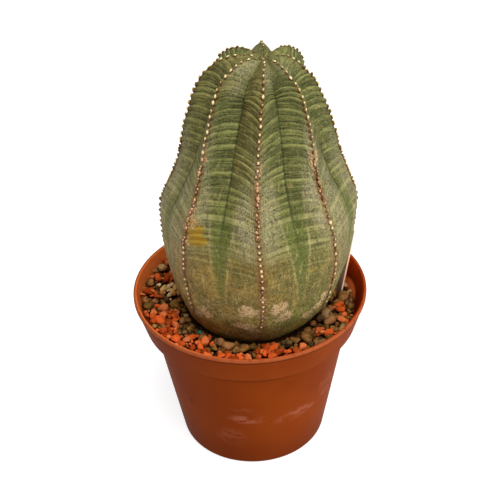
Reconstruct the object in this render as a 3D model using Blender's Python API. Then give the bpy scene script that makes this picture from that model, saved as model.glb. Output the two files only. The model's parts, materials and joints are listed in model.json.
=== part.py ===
"""A baseball plant, Euphorbia obesa, in a round plastic nursery pot dressed with gravel.

Lengths below are real millimetres times MM, because the scene is in metres. The pot's underside is at
height 0 with its axis on Z, and the plant's front faces -Y. Azimuths run from -Y towards +X, in degrees.
"""

import math
import random

import bmesh
import bpy
from mathutils import Euler, Matrix, Vector

MM = 0.001
CLEARANCE = 0.3 * MM

# Nursery pot
POT_HEIGHT = 90 * MM
POT_RADIUS = 60 * MM
POT_WALL = 1.6 * MM
POT_SIDES = 48
LIP_HEIGHT = 1.9 * MM
LIP_DEPTH = 0.5 * MM
BAND_HEIGHT = 17 * MM
BAND_DRAFT = 4.6 * MM
STEP_DEPTH = 4.3 * MM
BASE_RADIUS = 38.4 * MM
BASE_ROUNDING = 2 * MM
DRAIN_HOLES = 8
DRAIN_RADIUS = 3.5 * MM
DRAIN_SIDES = 12
DRAIN_RING = 25 * MM

# Gravel bed: its top falls from the left wall to the right wall
BED_TOP = 79.1 * MM
BED_FALL = 0.031
BED_DEPTH = 7 * MM
BED_MOUTH = 81
SOIL_TOP = BED_TOP - BED_DEPTH - CLEARANCE
# The stem's foot keeps these gaps to its hole in the soil and in the bed, in mm
SEAT_GAP = 0.45
BED_GAP = 0.5

# Stem: its outline down a rib's crest as (radius, height), from the growing tip to the root
CREST = [
    (0, 217), (6, 219.4), (12, 219.7), (18, 217.8), (23, 214.3), (27, 209.3), (31.5, 197), (35.5, 185),
    (38.9, 172), (43.4, 159), (47.6, 146), (48.2, 136), (47, 118), (42.8, 99), (38.8, 89), (34, 81),
    (27.5, 74), (18, 68), (9, 62), (5, 50), (2, 30),
]
WIDEST_HEIGHT = 136
RIBS = 8
# How deep the groove between two ribs lies below the crest, by distance down the crest from the tip
GROOVE_STATIONS = (0, 14, 30, 50, 70, 90, 110, 150, 165, 400)
GROOVE_DEPTHS = (0, 5.0, 8.8, 7.4, 5.4, 2.4, 1.6, 1.1, 0.2, 0)
# A rib's flanks are nearly straight at the top and round lower down: 0 is straight and 1 is round
ROUND_STATIONS = (40, 120)
ROUNDNESS = (0.25, 0.95)
# How far each rib wanders from its even place, in degrees, by distance down the crest
WANDER_STATIONS = (0, 20, 40, 65, 90, 120, 150)
RIB_WANDER = [
    (3, 2, -1, -3, -2, 1, 2),
    (-14, -8, -3, -4, -2, 4, 6),
    (-6, -4, -1, -2, 0, 3, 4),
    (-3, -3, -2, 0, 1, 2, 2),
    (0, -2, -3, -2, -1, 0, 1),
    (2, 2, 1, 0, -1, -2, -2),
    (-2, -2, 0, 1, 0, -2, -2),
    (-9, -5, -3, -1, -1, -4, -4),
]
# How far some crests lie below the common outline, by distance down the crest
SINK_STATIONS = (6, 24, 40, 60, 80, 105)
CREST_SINKS = {2: (0, 3, 2, 1, 1, 0), 6: (0, 0, -1, 0, 1.6, 0)}
# The stem leans: its axis is this far towards +X, by height
AXIS_AT_RIM = 3.9
AXIS_LEAN = 0.033
AXIS_SWEEP = 0.0016
SWEEP_TOP = 115
SWEEP_BOTTOM = 78
TIP_SHIFT = 1.8
TIP_REACH = 14

# Tubercles: one on every growth ring, along each crest, smaller towards the tip
TUBERCLE_PITCH = 3.25
TUBERCLE_STATIONS = (0, 35)
TUBERCLE_HEIGHTS = (0.5, 1.1)
TUBERCLE_HALF_WIDTH = 1.25
TUBERCLE_MOST_SHARE = 0.3
FIRST_ROW = 4.5
RING_ROWS = 46
FOOT_ROWS = 9
# Growth rings stand out by turns, and rise from the crests to the grooves
RELIEF_STATIONS = (0, 25)
RING_RELIEF = (0, 0.4)
RISE_STATIONS = (0, 30, 105, 165)
RING_RISE = (0, 3, 3, 0)
MID_FLANK = 0.55

# Plant label: a plastic tag pushed in between the stem and the pot's wall
LABEL_EDGE = (48.6, 8.8)
LABEL_WIDTH = 13
LABEL_THICKNESS = 0.8
LABEL_ABOVE = 38
LABEL_BELOW = 32
LABEL_POINT = 10
LABEL_TIP = 2.4
LABEL_NIP = 1.5
LABEL_TURN = 110
LABEL_LEAN = 10

# Bunches of orange brick chips: (azimuth, distance from the pot's axis in mm, chips)
ORANGE_BUNCHES = [
    (-44, 41, 1), (-74, 40, 4), (-110, 50, 4), (-91, 51, 2), (-73, 49, 5), (-55, 47, 6), (-34, 48, 5),
    (-19, 44, 7), (33, 42, 4), (13, 43, 6), (54, 43, 3), (70, 49, 1), (84, 45, 2), (118, 47, 3),
    (150, 45, 4), (178, 46, 3), (-152, 46, 5), (-132, 49, 3),
]
PALE_BUNCH = (-99, 46, 5)
TURQUOISE_PLACE = (-45, 36.3)
TURQUOISE_RADIUS = 1.5
CHIP_RADII = (2.6, 4.0)
CHIP_CORNERS = 8
CHIP_SQUASH = (0.55, 0.8)
PEBBLE_RADII = (1.6, 4.8)
PEBBLE_CORNERS = 8
PEBBLE_SQUASH = (0.7, 0.85)
PEBBLE_THROWS = 9000
STONE_LIFT = (0.15, 0.3)
STONE_TIP = 0.3
STONE_ROUGHNESS = (0.9, 1)
STONE_FLATNESS = (0.85, 1)
STONE_TOP = 0.95
STONE_FROM_STEM = 0.4
STONE_FROM_WALL = 0.4
STONE_FROM_LABEL = 1.3
BED_INNER = 32
BED_OUTER = 54
OVERLAP = 0.6
PEBBLE_OVERLAP = 0.7
COLOUR_SHARE = 0.9
GRAVEL_SEED = 12


def material(name, color, roughness):
    """A Principled material of one colour."""
    made = bpy.data.materials.new(name)
    made.use_nodes = True
    shader = made.node_tree.nodes["Principled BSDF"]
    shader.inputs["Base Color"].default_value = (*color, 1)
    shader.inputs["Roughness"].default_value = roughness
    shader.inputs["Metallic"].default_value = 0
    made.diffuse_color = (*color, 1)
    return made


def add_object(name, points, faces, finish=None):
    """A mesh object from points in metres, with its faces turned outwards."""
    mesh = bpy.data.meshes.new(name)
    mesh.from_pydata(points, [], faces)
    work = bmesh.new()
    work.from_mesh(mesh)
    bmesh.ops.recalc_face_normals(work, faces=work.faces)
    if work.calc_volume(signed=True) < 0:
        bmesh.ops.reverse_faces(work, faces=work.faces)
    work.to_mesh(mesh)
    work.free()
    made = bpy.data.objects.new(name, mesh)
    bpy.context.scene.collection.objects.link(made)
    if finish:
        mesh.materials.append(finish)
    return made


def shade(made, angle):
    """Smooth shading, with edges sharper than the angle kept crisp."""
    made.data.shade_smooth()
    made.data.set_sharp_from_angle(angle=math.radians(angle))


def turned(name, outline, sides, finish=None, closed=False):
    """A turned solid. The outline is (radius, height, axis shift) points, and closed makes it a ring."""
    points = []
    rings = []
    for radius, height, shift in outline:
        if radius == 0:
            rings.append([len(points)] * sides)
            points.append(Vector((shift, 0, height)))
            continue
        rings.append(list(range(len(points), len(points) + sides)))
        for side in range(sides):
            turn = 2 * math.pi * side / sides
            points.append(Vector((shift + radius * math.cos(turn), radius * math.sin(turn), height)))
    faces = []
    pairs = list(zip(rings, rings[1:]))
    if closed:
        pairs.append((rings[-1], rings[0]))
    for low, high in pairs:
        for side in range(sides):
            after = (side + 1) % sides
            corners = [low[side], low[after], high[after], high[side]]
            faces.append(list(dict.fromkeys(corners)))
    return add_object(name, points, faces, finish)


def combine(target, pieces, operation):
    """Joins the pieces to the target, or cuts them out of it, in one Boolean that is applied."""
    group = bpy.data.collections.new(target.name + "_pieces")
    for piece in pieces:
        group.objects.link(piece)
    boolean = target.modifiers.new("Combine", "BOOLEAN")
    boolean.operation = operation
    boolean.operand_type = "COLLECTION"
    boolean.collection = group
    boolean.solver = "EXACT"
    graph = bpy.context.evaluated_depsgraph_get()
    result = bpy.data.meshes.new_from_object(target.evaluated_get(graph))
    target.modifiers.clear()
    target.data = result
    for piece in pieces:
        bpy.data.objects.remove(piece)
    bpy.data.collections.remove(group)


def keep_one_body(target):
    """Keeps the largest body of a mesh, which fills sealed hollows and drops loose scraps."""
    work = bmesh.new()
    work.from_mesh(target.data)
    unseen = set(work.faces)
    bodies = []
    while unseen:
        body = [unseen.pop()]
        for face in body:
            for edge in face.edges:
                for neighbour in edge.link_faces:
                    if neighbour in unseen:
                        unseen.remove(neighbour)
                        body.append(neighbour)
        bodies.append(body)
    bodies.sort(key=len, reverse=True)
    spare = [face for body in bodies[1:] for face in body]
    bmesh.ops.delete(work, geom=spare, context="FACES")
    work.to_mesh(target.data)
    work.free()


def spline_value(stations, values, at):
    """A smooth curve through (station, value) pairs, level at its ends."""
    if at <= stations[0]:
        return values[0]
    if at >= stations[-1]:
        return values[-1]
    index = max(i for i, station in enumerate(stations) if station <= at)
    span = stations[index + 1] - stations[index]
    t = (at - stations[index]) / span

    def slope(i):
        if i == 0 or i == len(stations) - 1:
            return 0
        return (values[i + 1] - values[i - 1]) / (stations[i + 1] - stations[i - 1])

    start, end = values[index], values[index + 1]
    return (
        start * (1 + 2 * t) * (1 - t) ** 2
        + end * t * t * (3 - 2 * t)
        + span * (slope(index) * t * (1 - t) ** 2 - slope(index + 1) * t * t * (1 - t))
    )


def crest_curve(steps=12):
    """The crest outline as a dense Catmull-Rom curve: (distance, radius, height) rows, in mm."""
    first = (-CREST[1][0], CREST[1][1])
    last = (2 * CREST[-1][0] - CREST[-2][0], 2 * CREST[-1][1] - CREST[-2][1])
    guide = [Vector(point) for point in (first, *CREST, last)]
    dense = []
    for p0, p1, p2, p3 in zip(guide, guide[1:], guide[2:], guide[3:]):
        for step in range(steps):
            t = step / steps
            dense.append(0.5 * (
                2 * p1 + (p2 - p0) * t + (2 * p0 - 5 * p1 + 4 * p2 - p3) * t ** 2
                + (3 * p1 - p0 - 3 * p2 + p3) * t ** 3
            ))
    dense.append(guide[-2])
    rows = [(0, dense[0].x, dense[0].y)]
    for before, here in zip(dense, dense[1:]):
        rows.append((rows[-1][0] + (here - before).length, here.x, here.y))
    return rows


CURVE = crest_curve()
CREST_LENGTH = CURVE[-1][0]


def crest_at(distance):
    """Radius, height and outward direction on the crest, a distance down it from the tip."""
    distance = min(max(distance, 0), CREST_LENGTH)
    index = 0
    while index < len(CURVE) - 2 and CURVE[index + 1][0] < distance:
        index += 1
    s0, r0, z0 = CURVE[index]
    s1, r1, z1 = CURVE[index + 1]
    t = (distance - s0) / (s1 - s0)
    out = Vector((z0 - z1, r1 - r0)).normalized()
    return r0 + (r1 - r0) * t, z0 + (z1 - z0) * t, out


def crest_radius(height):
    """The crest's radius at a height in the lower half of the stem, in mm."""
    for (_, r0, z0), (_, r1, z1) in zip(CURVE, CURVE[1:]):
        if z0 < WIDEST_HEIGHT and z1 <= height <= z0:
            return r0 + (r1 - r0) * (height - z0) / (z1 - z0)
    return CURVE[-1][1]


def axis_shift(height):
    """How far the stem's axis is towards +X at a height, in mm."""
    height = max(height, SWEEP_BOTTOM)
    sweep = AXIS_SWEEP * max(0, SWEEP_TOP - height) ** 2
    return AXIS_AT_RIM + AXIS_LEAN * (height - POT_HEIGHT / MM) - sweep


def rib_azimuth(rib, distance):
    """The azimuth of a rib's crest, in degrees. Ribs count on past a full turn."""
    turns, rib = divmod(rib, RIBS)
    wander = spline_value(WANDER_STATIONS, RIB_WANDER[rib], distance)
    return 360 * turns + 360 / RIBS * rib + wander


def stem_point(rib, across, distance, relief=0):
    """A point of the stem: across runs from 0 on the rib's crest to 1 or -1 in the groove beside it."""
    radius, height, out = crest_at(distance)
    here = rib_azimuth(rib, distance)
    beside = rib_azimuth(rib + (1 if across > 0 else -1), distance)
    azimuth = math.radians(here + (beside - here) * abs(across) / 2)
    roundness = spline_value(ROUND_STATIONS, ROUNDNESS, distance)
    profile = (1 - roundness) * (1 - abs(across)) + roundness * (1 - across ** 2)
    depth = spline_value(GROOVE_STATIONS, GROOVE_DEPTHS, distance) * (1 - profile) - relief
    if rib % RIBS in CREST_SINKS:
        depth += spline_value(SINK_STATIONS, CREST_SINKS[rib % RIBS], distance) * (1 - across ** 2)
    flat_radius = max(radius - out.x * depth, 0.01)
    level = height - out.y * depth
    shift = axis_shift(level) + TIP_SHIFT * math.exp(-((distance / TIP_REACH) ** 2))
    x = shift + flat_radius * math.sin(azimuth)
    y = -flat_radius * math.cos(azimuth)
    return Vector((x, y, level)) * MM


def ring_level(distance, across):
    """Growth rings rise from a crest to the grooves beside it."""
    return distance - spline_value(RISE_STATIONS, RING_RISE, distance) * abs(across)


def foot_distances():
    """Distances down the crest of the plain rows below the last tubercle, down to the root's tip."""
    start = FIRST_ROW + TUBERCLE_PITCH * (RING_ROWS - 1)
    return [start + (CREST_LENGTH - start) * step / FOOT_ROWS for step in range(1, FOOT_ROWS + 1)]


def make_stem(finish):
    """The ribbed stem with its tubercles and root, as rings of points down from the growing tip."""
    distances = [FIRST_ROW + TUBERCLE_PITCH * row for row in range(RING_ROWS)]
    distances += foot_distances()[:-1]
    points = [stem_point(0, 0, 0)]
    rings = []
    for row, distance in enumerate(distances):
        half_arc = math.pi / RIBS * max(crest_at(distance)[0], 1)
        side = min(TUBERCLE_HALF_WIDTH / half_arc, TUBERCLE_MOST_SHARE)
        relief = spline_value(RELIEF_STATIONS, RING_RELIEF, distance) if row < RING_ROWS else 0
        relief *= 1 if row % 2 else -1
        crest = [(0, -side, 0), (0, side, 0)]
        columns = crest + [(0, MID_FLANK, relief), (0, 1, relief), (1, -MID_FLANK, relief)]
        ring = []
        for rib in range(RIBS):
            for beyond, across, raised in columns:
                ring.append(len(points))
                points.append(stem_point(rib + beyond, across, ring_level(distance, across), raised))
        rings.append(ring)
    count = len(rings[0])
    faces = [[0, rings[0][i], rings[0][(i + 1) % count]] for i in range(count)]
    for row, (upper, lower) in enumerate(zip(rings, rings[1:])):
        for i in range(count):
            j = (i + 1) % count
            corners = [upper[i], lower[i], lower[j], upper[j]]
            rib, column = divmod(i, len(columns))
            if column or row >= RING_ROWS - 1:
                faces.append(corners)
                continue
            middle = (distances[row] + distances[row + 1]) / 2
            height = spline_value(TUBERCLE_STATIONS, TUBERCLE_HEIGHTS, middle)
            peak = len(points)
            points.append(stem_point(rib, 0, middle, height))
            faces += [[peak, a, b] for a, b in zip(corners, corners[1:] + corners[:1])]
    foot = len(points)
    points.append(stem_point(0, 0, CREST_LENGTH) + Vector((0, 0, -CLEARANCE)))
    faces += [[foot, rings[-1][(i + 1) % count], rings[-1][i]] for i in range(count)]
    stem = add_object("stem", points, faces, finish)
    work = bmesh.new()
    work.from_mesh(stem.data)
    bmesh.ops.triangulate(work, faces=work.faces)
    work.to_mesh(stem.data)
    work.free()
    shade(stem, 50)


def pot_inner_radius(height):
    """The inside radius of the pot's body, below its rim band."""
    slope = (POT_RADIUS - BAND_DRAFT - STEP_DEPTH - BASE_RADIUS) / (POT_HEIGHT - BAND_HEIGHT)
    return BASE_RADIUS + slope * height - POT_WALL


def band_inner_radius(height):
    """The inside radius of the pot's rim band."""
    return POT_RADIUS - BAND_DRAFT * (POT_HEIGHT - height) / BAND_HEIGHT - POT_WALL


def make_pot(finish):
    """The pot: a tapered body under a wider rim band, with a lip round its mouth and drain holes."""
    step = POT_HEIGHT - BAND_HEIGHT
    band_foot = POT_RADIUS - BAND_DRAFT
    body_top = band_foot - STEP_DEPTH
    lip = POT_WALL / 4
    outline = [
        (0, 0),
        (BASE_RADIUS - BASE_ROUNDING, 0),
        (BASE_RADIUS - 0.3 * BASE_ROUNDING, 0.3 * BASE_ROUNDING),
        (BASE_RADIUS + 0.3 * MM, BASE_ROUNDING),
        (body_top, step - lip),
        (body_top + lip, step),
        (band_foot - lip, step),
        (band_foot, step + lip),
        (POT_RADIUS - LIP_DEPTH, POT_HEIGHT - LIP_HEIGHT - lip),
        (POT_RADIUS, POT_HEIGHT - LIP_HEIGHT),
        (POT_RADIUS, POT_HEIGHT - 2 * lip),
        (POT_RADIUS - lip, POT_HEIGHT - 0.3 * lip),
        (POT_RADIUS - 0.5 * POT_WALL, POT_HEIGHT),
        (POT_RADIUS - POT_WALL, POT_HEIGHT - lip),
        (POT_RADIUS - POT_WALL - 0.5 * lip, POT_HEIGHT - 3 * lip),
        (band_inner_radius(step + POT_WALL + lip), step + POT_WALL + lip),
        (band_inner_radius(step + POT_WALL) - lip, step + POT_WALL),
        (body_top - POT_WALL + 2 * lip, step + POT_WALL),
        (body_top - POT_WALL, step + POT_WALL - 2 * lip),
        (pot_inner_radius(2 * POT_WALL) + 0.3 * MM, 2 * POT_WALL),
        (BASE_RADIUS - POT_WALL - 1.2 * MM, POT_WALL),
        (0, POT_WALL),
    ]
    pot = turned("pot", [(radius, height, 0) for radius, height in outline], POT_SIDES, finish)
    low, high = -POT_WALL, 2 * POT_WALL
    drains = []
    for hole in range(DRAIN_HOLES):
        turn = 2 * math.pi * (hole + 0.5) / DRAIN_HOLES
        outline = [(0, low, 0), (DRAIN_RADIUS, low, 0), (DRAIN_RADIUS, high, 0), (0, high, 0)]
        drain = turned(f"drain_{hole}", outline, DRAIN_SIDES)
        drain.location = (DRAIN_RING * math.cos(turn), DRAIN_RING * math.sin(turn), 0)
        drains.append(drain)
    combine(pot, drains, "DIFFERENCE")
    shade(pot, 35)


def label_frame():
    """The label's corner at gravel level, with its width, thickness and length directions."""
    turn = math.radians(LABEL_TURN)
    lean = math.radians(LABEL_LEAN)
    width = Vector((math.cos(turn), math.sin(turn), 0))
    outward = Vector((math.sin(turn), -math.cos(turn), 0))
    length = Vector((0, 0, 1)) * math.cos(lean) + outward * math.sin(lean)
    corner = Vector((LABEL_EDGE[0], LABEL_EDGE[1], bed_height(LABEL_EDGE[0] * MM) / MM))
    return corner, width, width.cross(length), length


def make_label(name, finish=None, grow=0):
    """The plant label: a flat tag with a point in the soil and nipped top corners."""
    corner, width, face, length = label_frame()
    outline = [
        ((LABEL_WIDTH - LABEL_TIP) / 2, -LABEL_BELOW),
        ((LABEL_WIDTH + LABEL_TIP) / 2, -LABEL_BELOW),
        (LABEL_WIDTH, LABEL_POINT - LABEL_BELOW),
        (LABEL_WIDTH, LABEL_ABOVE - LABEL_NIP),
        (LABEL_WIDTH - LABEL_NIP, LABEL_ABOVE),
        (LABEL_NIP, LABEL_ABOVE),
        (0, LABEL_ABOVE - LABEL_NIP),
        (0, LABEL_POINT - LABEL_BELOW),
    ]
    points = []
    for side in (-1, 1):
        for along, up in outline:
            along += grow * (1 if along > LABEL_WIDTH / 2 else -1)
            up += grow * (1 if up > 0 else -1)
            offset = side * (LABEL_THICKNESS / 2 + grow)
            points.append((corner + width * along + length * up + face * offset) * MM)
    count = len(outline)
    faces = [list(range(count)), list(range(2 * count - 1, count - 1, -1))]
    for i in range(count):
        j = (i + 1) % count
        faces.append([j, i, count + i, count + j])
    return add_object(name, points, faces, finish)


def bed_height(x):
    """The height of the gravel bed's plain top, under its stones."""
    return BED_TOP - BED_FALL * x


def make_bed(name, finish):
    """The packed body of the gravel: a ring between the stem and the pot, with a sloping top."""
    foot = BED_TOP - BED_DEPTH
    middle = foot + BED_DEPTH / 2
    ledge = POT_HEIGHT - BAND_HEIGHT + POT_WALL
    wall = band_inner_radius(ledge)
    outline = [
        ((crest_radius(foot / MM) + BED_GAP) * MM, foot),
        (pot_inner_radius(foot) - CLEARANCE, foot),
        (pot_inner_radius(ledge) - 2 * CLEARANCE, ledge - 2 * CLEARANCE),
        (pot_inner_radius(ledge) + CLEARANCE, ledge + CLEARANCE),
        (wall - 2.5 * CLEARANCE, ledge + CLEARANCE),
        (wall - CLEARANCE, ledge + 2.5 * CLEARANCE),
        (band_inner_radius(BED_TOP) - CLEARANCE, BED_TOP),
        ((crest_radius(BED_MOUTH) + BED_GAP) * MM, BED_TOP),
        ((crest_radius(middle / MM) + BED_GAP) * MM, middle),
    ]
    by_stem = pot_inner_radius(foot) - 3 * MM
    rings = [(r, z, axis_shift(z / MM) * MM if r < by_stem else 0) for r, z in outline]
    bed = turned(name, rings, POT_SIDES, finish, closed=True)
    for vertex in bed.data.vertices:
        if abs(vertex.co.z - BED_TOP) < CLEARANCE / 10:
            vertex.co.z = bed_height(vertex.co.x)
            if vertex.co.xy.length > wall:
                vertex.co.xy *= (band_inner_radius(vertex.co.z) - CLEARANCE) / vertex.co.xy.length
    return bed


def make_pot_space():
    """The room inside the pot, which trims the pebbles that lie on its inner ledge."""
    gap = 0.6 * CLEARANCE
    foot = BED_TOP - BED_DEPTH - MM
    ledge = POT_HEIGHT - BAND_HEIGHT + POT_WALL
    wall = band_inner_radius(ledge)
    outline = [
        (0, foot),
        (pot_inner_radius(foot) - gap, foot),
        (pot_inner_radius(ledge) - gap, ledge - 2 * CLEARANCE),
        (pot_inner_radius(ledge) + CLEARANCE, ledge + gap),
        (wall - 2 * CLEARANCE, ledge + gap),
        (wall - gap, ledge + 2.5 * CLEARANCE),
        (band_inner_radius(POT_HEIGHT) - gap, POT_HEIGHT),
        (0, POT_HEIGHT),
    ]
    return turned("pot_space", [(radius, height, 0) for radius, height in outline], POT_SIDES)


def make_soil(finish):
    """The potting soil: it fills the pot's body, with a plain hole for the stem's foot and root."""
    floor = POT_WALL + CLEARANCE
    outline = [
        (0, floor),
        (BASE_RADIUS - POT_WALL - 1.8 * MM, floor),
        (pot_inner_radius(2 * POT_WALL) - CLEARANCE, 2 * POT_WALL + CLEARANCE),
        (pot_inner_radius(SOIL_TOP) - CLEARANCE, SOIL_TOP),
    ]
    rings = [(radius, height, 0) for radius, height in outline]
    shift = axis_shift(0) * MM
    hole = []
    for distance in foot_distances():
        radius, height, out = crest_at(distance)
        hole.append(((radius + SEAT_GAP * out.x) * MM, (height + SEAT_GAP * out.y) * MM))
    above = max(i for i, (_, height) in enumerate(hole) if height > SOIL_TOP)
    (r0, z0), (r1, z1) = hole[above:above + 2]
    rings.append((r0 + (r1 - r0) * (SOIL_TOP - z0) / (z1 - z0), SOIL_TOP, shift))
    rings += [(radius, height, shift) for radius, height in hole[above + 1:]]
    rings.append((0, hole[-1][1] - SEAT_GAP * MM, shift))
    return turned("potting_soil", rings, POT_SIDES, finish)


def ball_corners(count):
    """Points spread evenly over a ball of radius 1."""
    corners = []
    for index in range(count):
        z = 1 - (2 * index + 1) / count
        flat = math.sqrt(1 - z * z)
        turn = index * math.pi * (3 - math.sqrt(5))
        corners.append(Vector((flat * math.cos(turn), flat * math.sin(turn), z)))
    return corners


def make_stone(rng, place, corners, squash):
    """A broken stone: a ball of a few corners, roughened, squashed and tipped."""
    x, y, radius = place
    spin = Euler([rng.uniform(0, 2 * math.pi) for _ in range(3)]).to_matrix()
    tips = [rng.uniform(-STONE_TIP, STONE_TIP) for _ in range(2)]
    tip = Euler((*tips, rng.uniform(0, 2 * math.pi))).to_matrix()
    flatten = Matrix.Diagonal((1, rng.uniform(*STONE_FLATNESS), rng.uniform(*squash)))
    lift = rng.uniform(*STONE_LIFT) * radius
    centre = Vector((x * MM, y * MM, bed_height(x * MM) + lift * MM))
    turn = tip @ flatten @ spin
    offsets = [turn @ corner * rng.uniform(*STONE_ROUGHNESS) for corner in ball_corners(corners)]
    scale = radius * MM / max(offset.xy.length for offset in offsets)
    work = bmesh.new()
    for offset in offsets:
        work.verts.new(centre + offset * scale)
    bmesh.ops.convex_hull(work, input=work.verts)
    mesh = bpy.data.meshes.new("stone")
    work.to_mesh(mesh)
    work.free()
    stone = bpy.data.objects.new("stone", mesh)
    bpy.context.scene.collection.objects.link(stone)
    return stone


def make_stones(rng, places, corners, squash):
    """A stone at each of the places."""
    return [make_stone(rng, place, corners, squash) for place in places]


def label_gap(x, y):
    """The distance in plan from a point to the label, at gravel level."""
    corner, width, _, _ = label_frame()
    away = Vector((x - corner.x, y - corner.y))
    flat = Vector((width.x, width.y))
    along = min(max(away.dot(flat), 0), LABEL_WIDTH)
    return (away - flat * along).length


def has_room(x, y, radius):
    """Whether a stone fits between the stem, the pot and the label."""
    top = bed_height(x * MM) / MM + STONE_TOP * radius
    from_wall = band_inner_radius(bed_height(x * MM)) / MM - math.hypot(x, y) - radius
    from_stem = math.hypot(x - axis_shift(top), y) - radius - crest_radius(top)
    if from_wall < STONE_FROM_WALL or from_stem < STONE_FROM_STEM:
        return False
    return label_gap(x, y) - radius > STONE_FROM_LABEL


def clear_of(stones, x, y, radius, share=COLOUR_SHARE, gap=0.3):
    """Whether a stone keeps its distance from others: a share under 1 lets them overlap."""
    return all(
        math.hypot(x - sx, y - sy) >= share * (radius + size) + gap for sx, sy, size in stones
    )


def grow_bunch(rng, azimuth, distance, count, others):
    """Places of one bunch of chips: each overlaps one before it, and all keep clear of the others."""
    turn = math.radians(azimuth)
    bunch = []
    for _ in range(60 * count):
        if len(bunch) == count:
            break
        radius = rng.uniform(*CHIP_RADII)
        if bunch:
            bx, by, size = rng.choice(bunch)
            way = rng.uniform(0, 2 * math.pi)
            reach = OVERLAP * (radius + size)
            x, y = bx + reach * math.cos(way), by + reach * math.sin(way)
        else:
            away = distance + rng.uniform(-4, 4)
            x, y = away * math.sin(turn), -away * math.cos(turn)
        if has_room(x, y, radius) and clear_of(bunch, x, y, radius, 0.92 * OVERLAP, 0):
            if clear_of(others, x, y, radius):
                bunch.append((x, y, radius))
    return bunch


def lay_out_gravel():
    """The places of every stone as (x, y, radius) in mm: bunches of chips, then pebbles in what is left."""
    rng = random.Random(GRAVEL_SEED)
    turn = math.radians(TURQUOISE_PLACE[0])
    granule = (TURQUOISE_PLACE[1] * math.sin(turn), -TURQUOISE_PLACE[1] * math.cos(turn), TURQUOISE_RADIUS)
    others = [granule]
    bunches = []
    for azimuth, distance, count in [*ORANGE_BUNCHES, PALE_BUNCH]:
        bunch = grow_bunch(rng, azimuth, distance, count, others)
        others += bunch
        bunches.append(bunch)
    pebbles = []
    large, small = PEBBLE_RADII[1], PEBBLE_RADII[0]
    for throw in range(PEBBLE_THROWS):
        radius = large + (small - large) * (throw / PEBBLE_THROWS) ** 0.5
        turn = rng.uniform(0, 2 * math.pi)
        away = math.sqrt(rng.uniform(BED_INNER ** 2, BED_OUTER ** 2))
        x, y = away * math.cos(turn), away * math.sin(turn)
        if has_room(x, y, radius) and clear_of(others, x, y, radius):
            if clear_of(pebbles, x, y, radius, PEBBLE_OVERLAP, 0):
                pebbles.append((x, y, radius))
    return granule, bunches, pebbles


def ground_cutter():
    """A slab that ends just above the bed, to cut the undersides of the chips flat."""
    reach = POT_RADIUS
    points = []
    for z_shift in (-0.02, CLEARANCE):
        for x, y in ((-reach, -reach), (reach, -reach), (reach, reach), (-reach, reach)):
            points.append(Vector((x, y, bed_height(x) + z_shift)))
    faces = [[0, 3, 2, 1], [4, 5, 6, 7], [0, 1, 5, 4], [1, 2, 6, 5], [2, 3, 7, 6], [3, 0, 4, 7]]
    return add_object("ground_cutter", points, faces)


def make_bunch(rng, name, bunch, finish):
    """One bunch of chips, fused, with its underside cut flat to lie on the bed."""
    stones = make_stones(rng, bunch, CHIP_CORNERS, CHIP_SQUASH)
    target = stones[0]
    target.name = name
    target.data.materials.append(finish)
    if len(stones) > 1:
        combine(target, stones[1:], "UNION")
    combine(target, [ground_cutter()], "DIFFERENCE")
    keep_one_body(target)
    return target


def make_gravel(finishes):
    """The gravel: brown pebbles fused into their bed, and chips of other colours lying in bunches."""
    granule, bunches, pebbles = lay_out_gravel()
    rng = random.Random(GRAVEL_SEED)
    bed = make_bed("gravel", finishes["gravel"])
    combine(bed, [make_label("label_slot", grow=CLEARANCE / MM)], "DIFFERENCE")
    combine(bed, make_stones(rng, pebbles, PEBBLE_CORNERS, PEBBLE_SQUASH), "UNION")
    combine(bed, [make_pot_space()], "INTERSECT")
    keep_one_body(bed)
    make_bunch(rng, "pale_chips", bunches[-1], finishes["pale"])
    for index, bunch in enumerate(bunches[:-1], start=1):
        make_bunch(rng, f"orange_chips_{index:02d}", bunch, finishes["orange"])
    make_bunch(rng, "turquoise_granule", [granule], finishes["turquoise"])


def main():
    for old in list(bpy.data.objects):
        bpy.data.objects.remove(old)
    finishes = {
        "pot": material("pot plastic", (0.45, 0.13, 0.045), 0.45),
        "soil": material("potting soil", (0.03, 0.02, 0.012), 0.95),
        "gravel": material("brown pebbles", (0.16, 0.10, 0.045), 0.7),
        "orange": material("orange chips", (0.62, 0.15, 0.045), 0.75),
        "pale": material("pale chips", (0.52, 0.33, 0.15), 0.75),
        "turquoise": material("turquoise granule", (0.03, 0.2, 0.17), 0.5),
        "stem": material("stem skin", (0.13, 0.16, 0.05), 0.5),
        "label": material("label plastic", (0.8, 0.8, 0.8), 0.4),
    }
    make_pot(finishes["pot"])
    soil = make_soil(finishes["soil"])
    combine(soil, [make_label("label_slot", grow=CLEARANCE / MM)], "DIFFERENCE")
    make_gravel(finishes)
    make_stem(finishes["stem"])
    make_label("plant_label", finishes["label"])


main()
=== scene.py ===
# %% [markdown]
# # A baseball plant in its nursery pot
#
# This notebook dresses a measured solid model of a potted succulent, *Euphorbia obesa*, so that it looks
# like the real thing. The solid model is the frame: it says how big everything is and where it stands. We
# keep to its box, and lay finer meshes and painted finishes over it, one piece at a time.
#
# All lengths in the code are real millimetres, and turn into the scene's metres at the last moment.

# %% Load the frame
import json
import math
import random
from collections import namedtuple

import bmesh
import bpy
import numpy as np
from mathutils import Euler, Matrix, Vector

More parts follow.
